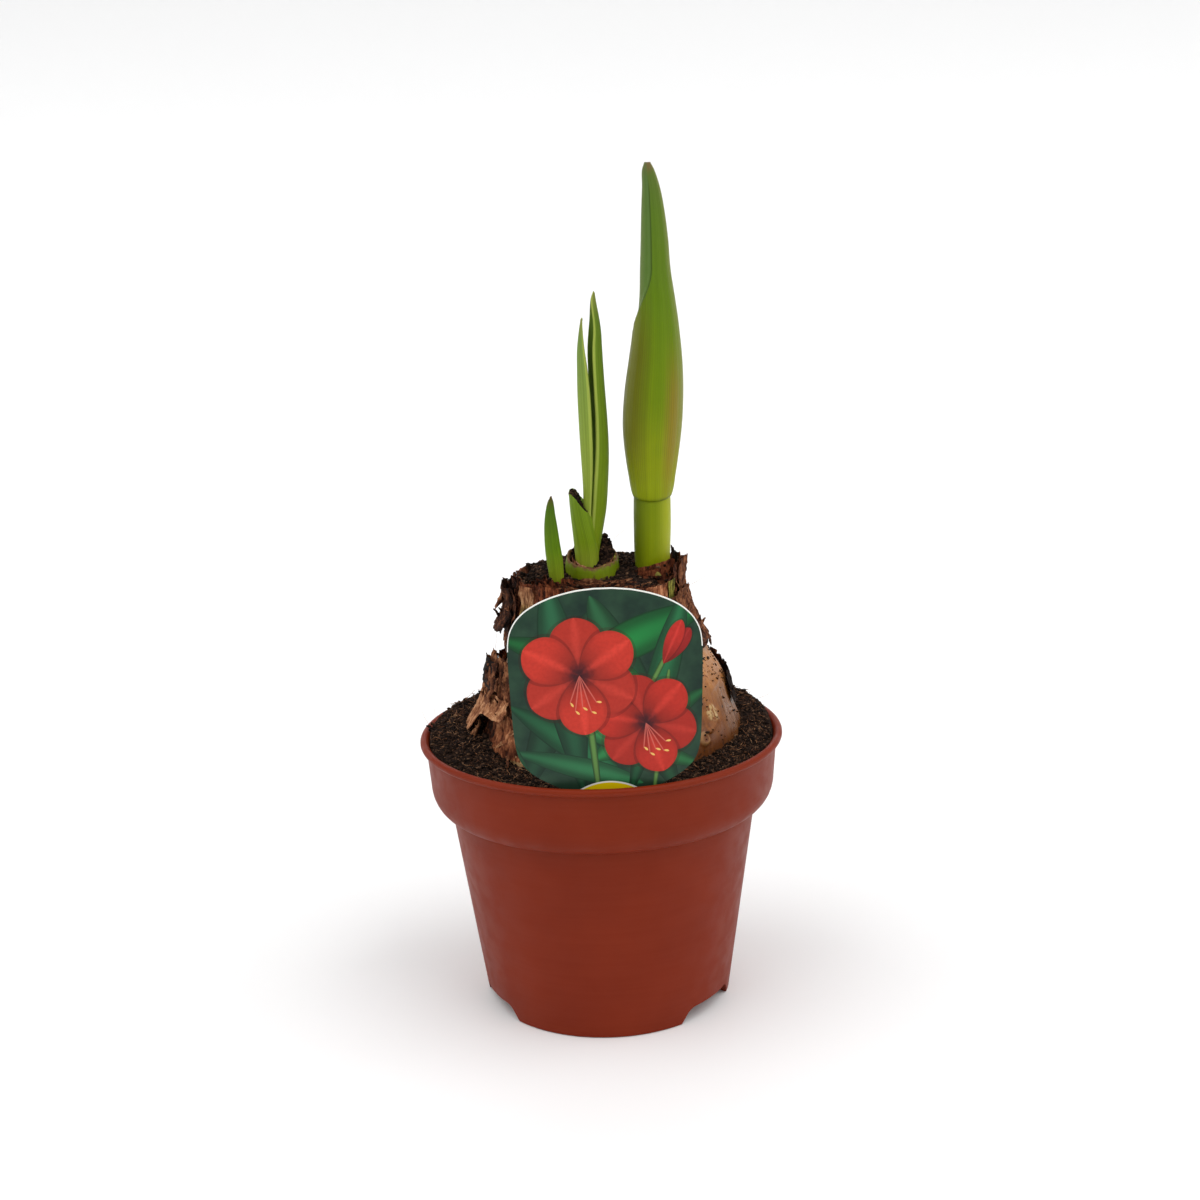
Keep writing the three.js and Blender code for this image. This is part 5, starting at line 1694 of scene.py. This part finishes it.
def oval_loft(rows_table, y, columns, rows, shape=None):
    """A body of stacked ovals, closed at both ends."""
    foot, top = rows_table[0][0], rows_table[-1][0]

    def place(turn, t):
        height = mix(foot, top, min(max((t * rows - 1) / (rows - 2), 0), 1))
        middle, half_width, half_depth = read(rows_table, height)
        swell = 0.0 if t in (0, 1) else (shape(turn, height) if shape else 1.0)
        across, deep = swell * half_width * math.cos(turn), swell * half_depth * math.sin(turn)
        return Vector((middle + across, y + deep, height))

    return placed_grid(columns, rows, place, closed=True)


def with_depth(rows, ratio):
    return [(height, middle, half, half * ratio) for height, middle, half in rows]


def make_stalk():
    def shape(turn, height):
        return 1 + 0.012 * grain(math.cos(turn) * 2, math.sin(turn) * 2, height / 20)

    return oval_loft(with_depth(STALK_ROWS, STALK.depth), STALK.y, 72, 40, shape)


def fold_angle(height):
    return math.radians(mix(BUD.fold_low, BUD.fold_high, ramp(height, 236, 262)))


def behind_fold(turn, height):
    """How far round a point is behind the edge of the outer sheath leaf, in radians."""
    return (fold_angle(height) - turn) % (2 * math.pi)


def bud_shape(turn, height):
    behind = behind_fold(turn, height)
    fades = ramp(height, 228, 246) * (1 - ramp(height, 288, 296))
    sunk = ramp(behind, 0, math.radians(BUD.fold_width))
    sunk *= 1 - ramp(behind, math.radians(80), math.radians(200))
    crease = 0.035 * (1 - ramp(abs(behind - 0.06), 0.0, 0.1)) * ramp(height, 234, 244)
    ahead = (turn - fold_angle(height)) % (2 * math.pi)
    lip = 0.03 * ramp(height, 236, 246) * (1 - ramp(ahead, 0.05, 0.4)) * (1 - ramp(height, 285, 294))
    veins = 0.004 * math.sin(34 * turn + 2 * grain(height / 30, 1)) + 0.006 * math.sin(13 * turn)
    collar = 0.03 * (1 - ramp(height, 182.3, 184.6))
    second = math.radians(118)
    aside = abs((turn - second + math.pi) % (2 * math.pi) - math.pi)
    seam = -0.02 * (1 - ramp(aside, 0, 0.08)) * ramp(height, 196, 226)
    return 1 - BUD.fold * sunk * fades - crease + lip + veins + collar + seam


def make_bud():
    """The bud in its sheath. Its foot is an edge that dips in front, where it sits on the stalk."""
    shape = oval_loft(with_depth(BUD_ROWS, BUD.depth), STALK.y, 128, 190, bud_shape)
    fold = shape.verts.layers.float_vector.new("fold")
    for vert in shape.verts:
        height = vert.co.z
        middle = read(BUD_ROWS, height)[0]
        turn = math.atan2(vert.co.y / BUD.depth, vert.co.x - middle) % (2 * math.pi)
        behind = behind_fold(turn, height)
        # Masks for painted shade: the strip behind the sheath's folded edge, a line along that edge, and the
        # crease at the bud's foot.
        strip = (1 - ramp(behind, math.radians(95), math.radians(150))) * ramp(behind, 0.02, 0.12)
        strip *= ramp(height, 234, 246)
        line = (1 - ramp(abs(behind - 0.05), 0.0, 0.07)) * ramp(height, 236, 246)
        line *= 1 - ramp(height, 286, 292)
        vert[fold] = (strip, line, 1 - ramp(height, 182.3, 183.6))
        vert.co.z += BUD.foot_rise * (1 + math.sin(turn)) / 2 * (1 - ramp(height, 182.3, 198))
    return shape


def leaf_section(bend_share):
    """Round a folded leaf's section: 0 to 1 gives the bend angle and which face it is on."""
    if bend_share < 0.5:
        return mix(-90, 90, bend_share * 2), 1
    return mix(90, -90, bend_share * 2 - 1), -1


def make_leaf(rows_table, twist, columns=56, rows=150):
    """A young leaf folded lengthwise, its margins at the front and back, the front one shifted by a twist."""
    outward = math.copysign(1, rows_table[4][2] - rows_table[4][1])
    foot, top = rows_table[0][0], rows_table[-1][0]

    def place(turn, t):
        share = turn / (2 * math.pi)
        bend, face = leaf_section(share % 1)
        height = mix(foot, top, t)
        margin, bulge_x, middle_y, half_depth = read(rows_table, height)
        slim = 1 - ramp(t, 0.8, 1) * 0.45
        round_off = 0.25 + 0.75 * (1 - (abs(bend) / 90) ** 10)
        half = mix(LEAF.margin, LEAF.rib, math.cos(math.radians(bend))) / 2 * slim * round_off
        ridge = 0.05 * math.sin(bend * 0.55) * (1 - abs(bend) / 90)
        lift = face * half + half * 0.2 + ridge
        if t in (0, 1):
            lift = 0
        bulge = max(abs(bulge_x - margin) - half, 0.1)
        turn_in = math.radians(bend)
        shifted = margin + twist * ramp(t, 0.1, 0.6) * (1 - ramp(t, 0.85, 1)) * (1 - math.sin(turn_in)) / 2
        x = shifted + outward * (bulge + lift) * math.cos(turn_in)
        y = middle_y + (half_depth + lift) * math.sin(turn_in)
        return Vector((x, y, height))

    return placed_grid(columns, rows, place, closed=True)


def stub_point(angle, height, reach_in=0.0):
    middle, radius = read(STUB_ROWS, height)
    reach = radius - reach_in
    turn = math.radians(angle)
    return Vector((middle + reach * math.cos(turn), STUB.y + reach * math.sin(turn), height))


def stub_top(angle, reach_in=0.0):
    """The height of the slanted cut over a point of the stub's wall, a little higher at the back."""
    turn, inward = math.radians(angle), 1 - reach_in / 4.1
    side = (1 + math.cos(turn) * inward) / 2
    back = STUB.back_rise * max(0.0, math.sin(turn)) * inward
    return mix(STUB.cut_left, STUB.cut_right, ramp(side, 0.02, 0.85)) + back


def make_stub():
    """The cut leaf base: a gutter open at the right, cut off on the slant, with the cut filled."""
    rows = 60

    def place(turn, t):
        share = (turn / (2 * math.pi)) % 1
        outer = share < 0.5
        s = share * 2 if outer else 2 - share * 2
        up = min(max((t * rows - 1) / (rows - 2), 0), 1)
        end = mix(STUB.end, STUB.end_at_top, ramp(up, 0.45, 1))
        angle = mix(STUB.start, end, s)
        edge = 4 * s * (1 - s)
        thin = STUB.wall * min(1.0, 0.35 + 3 * edge)
        fill = mix(thin, STUB.filled * min(1.0, 0.35 + 3 * edge), ramp(up, 0.86, 1))
        reach_in = 0.0 if outer else fill
        if t in (0, 1):
            reach_in = thin / 2
        rough = 0.35 * grain(angle * 0.12, 3.3) * ramp(up, 0.8, 1)
        height = mix(STUB_ROWS[0][0], stub_top(angle, reach_in) + rough, up)
        return stub_point(angle, height, reach_in)

    return placed_grid(110, rows, place, closed=True)


def make_ring():
    """The ring of an older leaf base, higher at the back."""
    inner = RING.radius - RING.wall
    outline = [
        (inner, 0),
        (RING.radius - 0.9, 0),
        (RING.radius - 0.1, 0.3),
        (RING.radius + 0.1, 0.55),
        (RING.radius + 0.2, 0.75),
        (RING.radius, 0.9),
        (RING.radius - 0.4, 0.98),
        (RING.radius - 0.8, 1),
        (inner + 0.2, 0.97),
        (inner, 0.85),
    ]
    fine = []
    for (low, high) in zip(outline, outline[1:] + outline[:1]):
        for step in range(3):
            fine.append((mix(low[0], high[0], step / 3), mix(low[1], high[1], step / 3)))
    foot = NOSE.pit_floor + 0.3

    def place(turn, t):
        radius, share = fine[round(t * len(fine)) % len(fine)]
        top = mix(RING.front_top, RING.back_top, (1 + math.sin(turn)) / 2)
        rag = 0.2 * math.sin(5 * turn) + 0.4 * grain(math.cos(turn) * 6, math.sin(turn) * 6, 2)
        lift = share * (top - foot) + ramp(share, 0.6, 1) * rag
        reach = radius + 0.3 * grain(math.cos(turn) * 4, math.sin(turn) * 4, share * 3)
        return Vector((RING.x + reach * math.cos(turn), RING.y + reach * math.sin(turn), foot + lift))

    return placed_grid(140, len(fine), place, closed=True)


def ring_film(draw):
    """Dried film that peels from the ring's cut edge, with broken yellow-green fragments at its right."""
    heap = Heap()
    films = [
        (175, 300, 1.7, 0.3, 0.45, 0.4),
        (200, 262, 2.5, 0.2, 0.7, 0.3),
        (285, 372, 1.0, 0.9, 0.4, 0.3),
        (296, 330, 0.2, 0.8, 0.8, -1.0),
        (336, 366, 0.3, 1.2, 0.75, -1.0),
        (20, 120, 1.2, 1.0, 0.35, 0.3),
    ]
    for start, end, inset, rise, tone, hue in films:
        arc_length = RING.radius * math.radians(end - start)
        seed = draw.uniform(0, 90)

        def place(s, t):
            turn = math.radians(mix(start, end, s))
            top = mix(RING.front_top, RING.back_top, (1 + math.sin(turn)) / 2)
            ends = 1 - (2 * s - 1) ** 6
            high = top + ends * (rise + 0.8 * ragged(s * arc_length, seed)) - 0.6
            fold = crumple(Vector((s * arc_length, t * 2, seed)), 2.0, 0.6, 2)
            reach = RING.radius - inset - 0.9 * t + 0.4 * fold
            height = mix(top - 3.5, high, t)
            point = Vector((RING.x + reach * math.cos(turn), RING.y + reach * math.sin(turn), height))
            # The first number paints shade in the hollows of the folds and highlight on their ridges.
            return point, (min(max(0.6 + 0.6 * fold, 0.0), 1.0), hue, tone)

        shape = placed_grid(int(arc_length / 0.4), 8, place)
        bmesh.ops.solidify(shape, geom=shape.faces[:], thickness=0.25)
        heap.add(shape)
    return heap


def make_side_shoot():
    def shape(turn, height):
        notch = 1 - 0.5 * ramp(height, 184.6, 186.2) * max(0.0, math.cos(turn * 2))
        fold = 0.05 * (1 - ramp(abs(turn - math.radians(292)), 0.0, 0.16)) * ramp(height, 158, 168)
        return notch - fold + 0.006 * math.sin(19 * turn)

    return oval_loft(SIDE_SHOOT_ROWS, SIDE_SHOOT_Y, 56, 80, shape)


# Label


def white_line(shape, place, start, steps=110):
    """The white line along the card's upper edge, a hair's breadth proud of the print."""
    shares = [mix(start, 1, step / steps) for step in range(steps + 1)]
    path = [place(0, share) for share in shares] + [place(1, share) for share in reversed(shares)]
    rows = []
    for index, point in enumerate(path):
        along = path[min(index + 1, len(path) - 1)] - path[max(index - 1, 0)]
        inward = Vector((along.z, 0, -along.x)).normalized() * LABEL.border
        proud = Vector((0, -LABEL.line_height, 0))
        rows.append((shape.verts.new(point + proud), shape.verts.new(point + inward + proud)))
    faces = []
    for (outer, inner), (next_outer, next_inner) in zip(rows, rows[1:]):
        faces.append(shape.faces.new((outer, inner, next_inner, next_outer)))
    for face in faces:
        face.material_index = 1
        face.normal_update()
        if face.normal.y > 0:
            face.normal_flip()


def make_label(print_material, edge_material, back_material):
    """A thin card on a stake, with a white line round the upper part of its print."""
    foot, top = LABEL_OUTLINE[0][0], LABEL_OUTLINE[-1][0]

    def place(s, t):
        eased = mix(0, 0.55, t * 2) if t < 0.5 else mix(0.55, 1, math.sin((t - 0.5) * math.pi))
        height = mix(foot, top, eased)
        half = read(LABEL_OUTLINE, height)[0]
        y = read(LABEL_LEAN, height)[0] - LABEL.thickness / 2
        return Vector((LABEL.middle + mix(-half, half, s), y, height))

    shape = placed_grid(24, 160, place)
    bmesh.ops.recalc_face_normals(shape, faces=shape.faces[:])
    front = shape.faces[:]
    if sum(face.normal.y for face in front) > 0:
        bmesh.ops.reverse_faces(shape, faces=front)
    white_line(shape, place, LABEL.line_start)
    face_set = set(shape.faces)
    solid = bmesh.ops.solidify(shape, geom=shape.faces[:], thickness=LABEL.thickness)["geom"]
    for face in solid:
        if isinstance(face, bmesh.types.BMFace) and face not in face_set:
            face.material_index = 1 if abs(face.normal.y) < 0.7 else 2
    return finished(
        "picture_label", shape, print_material, "label_card", "plant_label",
        sharp=40, more_materials=(edge_material, back_material),
    )


# The object, piece by piece


def spots_on_mix(draw, count, half):
    """Places for loose grains on the front (-1) or back (1) half of the mix, with none before the label."""
    spots = []
    while len(spots) < count:
        turn = draw.uniform(0, math.pi) * half
        radius = math.sqrt(draw.uniform(30**2, 60.8**2))
        x, y = radius * math.cos(turn), radius * math.sin(turn)
        before_label = y < -55 and abs(x - LABEL.middle) < 13
        if math.hypot(x - 4.7, y) > 43.5 and not before_label:
            spots.append((Vector((x, y, soil_height(x, y) + 0.2)), Vector((0, 0, 1))))
    return spots


def dust_on_bulb(draw, trees, count):
    """Places for grains that lie on the foot of the bulb and its skins."""
    spots = []
    while len(spots) < count:
        turn = draw.uniform(0, 2 * math.pi)
        reach = draw.uniform(34, 47) - 6 * draw.random() ** 3
        hit = settle(trees, 4.5 + reach * math.cos(turn), reach * math.sin(turn))
        if hit and hit[1].z > 0.05:
            spots.append(hit)
    return spots


def spots_on_nose(draw, trees, count):
    """Places for grains among the shoots; few lie on the bare edges of the scales in front."""
    spots = []
    while len(spots) < count:
        turn = draw.uniform(0, 2 * math.pi)
        reach = 27.5 * math.sqrt(draw.random())
        x, y = reach * math.cos(turn), reach * math.sin(turn)
        if y < -8 and draw.random() < 0.8:
            continue
        hit = settle(trees, x, y)
        if hit and hit[0].z > 148:
            spots.append(hit)
    return spots


def make_fibres_on_mix(draw):
    """Loose fibres on the mix, short ones on the neck, and a few stray hairs."""
    heap = Heap()
    for _ in range(FIBRE_COUNT.on_mix):
        turn = draw.uniform(0, 2 * math.pi)
        radius = draw.uniform(45, 60)
        x, y = radius * math.cos(turn), radius * math.sin(turn)
        foot = Vector((x, y, soil_height(x, y) + 0.35))
        heading = Vector((draw.uniform(-1, 1), draw.uniform(-1, 1), draw.uniform(0.05, 0.5)))
        loose_hair(heap, draw, foot, draw.uniform(1.2, 4.2), draw.uniform(0.08, 0.17), heading, 0.6, 0.9)
    for _ in range(FIBRE_COUNT.on_neck):
        turn = draw.uniform(0, 2 * math.pi)
        root = on_bulb(turn, draw.uniform(140, 154), 2.5)
        heading = Vector((math.cos(turn), math.sin(turn), draw.uniform(-0.2, 1.2)))
        loose_hair(heap, draw, root, draw.uniform(2, 6), 0.09, heading)
    for foot, heading, length in STRAY_HAIRS:
        loose_hair(heap, draw, Vector(foot), length, 0.06, Vector(heading), 0.2, 0.3, 0.8)
    return heap


def build():
    draw = random.Random(11)
    make_pot()

    soil = make_soil()
    bulb = make_bulb()
    left = make_left_tunic(random.Random(21))
    back = make_back_tunic(random.Random(22))
    neck = make_neck(random.Random(23))
    nose_mix = make_nose_mix()
    ring_mix = make_ring_mix()
    ring = make_ring()
    film = ring_film(random.Random(24))
    trees = ground(soil, bulb, left.shape, back.shape)
    nose_trees = ground(nose_mix, neck.shape, ring_mix)

    templates = crumb_templates()
    front_crumbs = Heap()
    strew(front_crumbs, templates, draw, spots_on_mix(draw, GRAINS.front, -1), (0.16, 0.5))
    strew(front_crumbs, templates, draw, dust_on_bulb(draw, trees, GRAINS.on_bulb), (0.14, 0.45))
    back_crumbs = Heap()
    strew(back_crumbs, templates, draw, spots_on_mix(draw, GRAINS.back, 1), (0.18, 0.6))
    clump = [(Vector(spot), Vector((0, 0, 1))) for spot in RIM_CLUMP]
    strew(back_crumbs, templates, draw, clump * 3, (0.5, 1.0))
    nose_crumbs = Heap()
    strew(nose_crumbs, templates, draw, spots_on_nose(draw, nose_trees, GRAINS.on_nose), (0.18, 0.7))
    stub_crumbs = []
    for _ in range(GRAINS.on_stub):
        angle = draw.uniform(100, 325)
        reach_in = draw.uniform(0.4, 3.5)
        stub_crumbs.append((stub_point(angle, stub_top(angle, reach_in), reach_in), Vector((0, 0, 1))))
    strew(nose_crumbs, templates, draw, stub_crumbs, (0.22, 0.5))

    mix_peat = peat()
    grains = crumb_skin()
    paper = dry_skin("dry_tunic")
    finished("peat_fill", soil, mix_peat, "potting_mix", "potting_mix")
    finished("peat_crumbs_front", front_crumbs.shape, grains, "potting_mix", smooth=False)
    finished("peat_crumbs_back", back_crumbs.shape, grains, "potting_mix", smooth=False)
    finished("peat_on_nose", nose_mix, mix_peat, "potting_mix", "nose_mix")
    finished("peat_in_ring", ring_mix, mix_peat, "potting_mix", "leaf_base_mix")
    finished("nose_crumbs", nose_crumbs.shape, grains, "potting_mix", smooth=False)
    finished("root_fibres", make_fibres_on_mix(draw).shape, paper, "dry_skin")
    finished("scaly_bulb", bulb, bulb_skin(), "bulb_skin", "bulb")
    finished("left_tunic", left.shape, paper, "dry_skin", "bulb_tunic_left", sharp=60)
    finished("back_tunic", back.shape, paper, "dry_skin", "bulb_tunic_back", sharp=60)
    finished("neck_scale_layers", neck.shape, paper, "dry_skin", "neck_scales", sharp=60)
    finished("leaf_base_band", ring, ring_skin(), "leaf_base", "leaf_base_ring")
    finished("leaf_base_film", film.shape, paper, "dry_skin")

    stub_stops = [(0, tint(176, 188, 60)), (0.4, tint(134, 162, 14)), (1, tint(122, 152, 34))]
    stub_skin = leaf_skin("stub_skin", 158, 184, stub_stops, inside=None)
    finished("cut_stub", make_stub(), stub_skin, "leaf", "cut_leaf_base")
    right_stops = [
        (0, tint(142, 166, 20)),
        (0.4, tint(116, 144, 20)),
        (0.9, tint(104, 132, 34)),
        (1, tint(156, 156, 80)),
    ]
    right_skin = leaf_skin("right_leaf_skin", 165, 254, right_stops)
    finished("right_leaf", make_leaf(RIGHT_LEAF, LEAF.right_twist), right_skin, "leaf", "leaf_right")
    left_stops = [
        (0, tint(158, 176, 60)),
        (0.4, tint(148, 170, 66)),
        (0.9, tint(124, 152, 70)),
        (1, tint(156, 156, 84)),
    ]
    left_skin = leaf_skin("left_leaf_skin", 178, 246, left_stops, 0.55, (112, 134, 44))
    finished("left_leaf", make_leaf(LEFT_LEAF, LEAF.left_twist), left_skin, "leaf", "leaf_left")
    shoot_stops = [
        (0, tint(146, 162, 30)),
        (0.35, tint(106, 142, 6)),
        (0.85, tint(78, 114, 14)),
        (1, tint(92, 66, 34)),
    ]
    shoot_skin = leaf_skin("side_shoot_skin", 157, 186, shoot_stops, inside=None)
    finished("small_side_shoot", make_side_shoot(), shoot_skin, "leaf", "side_shoot")
    finished("stout_stalk", make_stalk(), stalk_skin(), "flower_stalk", "flower_stalk")
    finished("sheathed_bud", make_bud(), bud_skin(), "flower_bud", "flower_bud")
    edge_card = plain_card("label_edge", (246, 246, 240), 0.4)
    make_label(label_print(), edge_card, plain_card("label_back", (208, 210, 200), 0.45))


# Camera, lights and floor


def make_camera():
    c = CAMERA
    flat = math.cos(c.pitch)
    forward = Vector((math.sin(c.yaw) * flat, math.cos(c.yaw) * flat, -math.sin(c.pitch)))
    level = Vector((math.cos(c.yaw), -math.sin(c.yaw), 0))
    upright = level.cross(forward)
    right = level * math.cos(c.roll) + upright * math.sin(c.roll)
    up = upright * math.cos(c.roll) - level * math.sin(c.roll)
    camera = bpy.data.objects.new("camera", bpy.data.cameras.new("camera"))
    bpy.context.scene.collection.objects.link(camera)
    turn = Matrix((right, up, -forward)).transposed().to_4x4()
    camera.matrix_world = Matrix.Translation((0, -c.distance * MM, c.height * MM)) @ turn
    camera.data.sensor_width = SENSOR
    camera.data.lens = c.focal / FRAME_PIXELS * SENSOR
    bpy.context.scene.camera = camera


def soft_light(name, heading, strength, colour=(1, 1, 1)):
    """A wide soft lamp far off, whose light travels along the heading."""
    lamp = bpy.data.lights.new(name, "SUN")
    lamp.angle = math.radians(SOFTNESS)
    lamp.energy = strength
    lamp.color = colour
    light = bpy.data.objects.new(name, lamp)
    bpy.context.scene.collection.objects.link(light)
    light.matrix_world = Vector(heading).to_track_quat("-Z", "Y").to_matrix().to_4x4()


def make_studio():
    """A white floor that sweeps up behind, a pale room, and a soft light from each side and from above."""
    floor = bmesh.new()
    reach, sweep = 2.2, 0.8
    profile = [(-reach, 0.0), (reach - sweep, 0.0)]
    for step in range(1, 17):
        angle = math.radians(step * 90 / 16)
        profile.append((reach - sweep + sweep * math.sin(angle), sweep * (1 - math.cos(angle))))
    profile.append((reach, 3.0))
    verts = [floor.verts.new((-reach, y, z)) for y, z in profile]
    edges = [floor.edges.new(pair) for pair in zip(verts, verts[1:])]
    swept = bmesh.ops.extrude_edge_only(floor, edges=edges)["geom"]
    moved = [item for item in swept if isinstance(item, bmesh.types.BMVert)]
    bmesh.ops.translate(floor, vec=(2 * reach, 0, 0), verts=moved)
    bmesh.ops.recalc_face_normals(floor, faces=floor.faces[:])
    for face in floor.faces:
        face.smooth = True
    mesh = bpy.data.meshes.new("floor")
    floor.to_mesh(mesh)
    floor.free()
    sheet = bpy.data.objects.new("floor", mesh)
    bpy.context.scene.collection.objects.link(sheet)
    material, sh, inputs = new_material("floor_paper", 0.6)
    paper = sh.blend(sh.noise(object_place(sh), 0.4), tint(243, 243, 243), tint(244, 244, 244))
    sh.feed(inputs["Base Color"], paper)
    mesh.materials.append(material)

    world = bpy.data.worlds.new("room")
    world.use_nodes = True
    background = world.node_tree.nodes["Background"]
    background.inputs["Color"].default_value = (1.0, 1.0, 1.0, 1)
    background.inputs["Strength"].default_value = 0.36
    bpy.context.scene.world = world
    soft_light("right_window", (-0.9, 0.35, -0.85), 1.5)
    soft_light("left_window", (0.9, 0.3, -0.85), 1.05)
    soft_light("top", (0.05, 0.15, -1), 0.95)
    bpy.context.scene.view_settings.view_transform = "Standard"
    bpy.context.scene.view_settings.look = "None"


make_camera()
make_studio()
build()
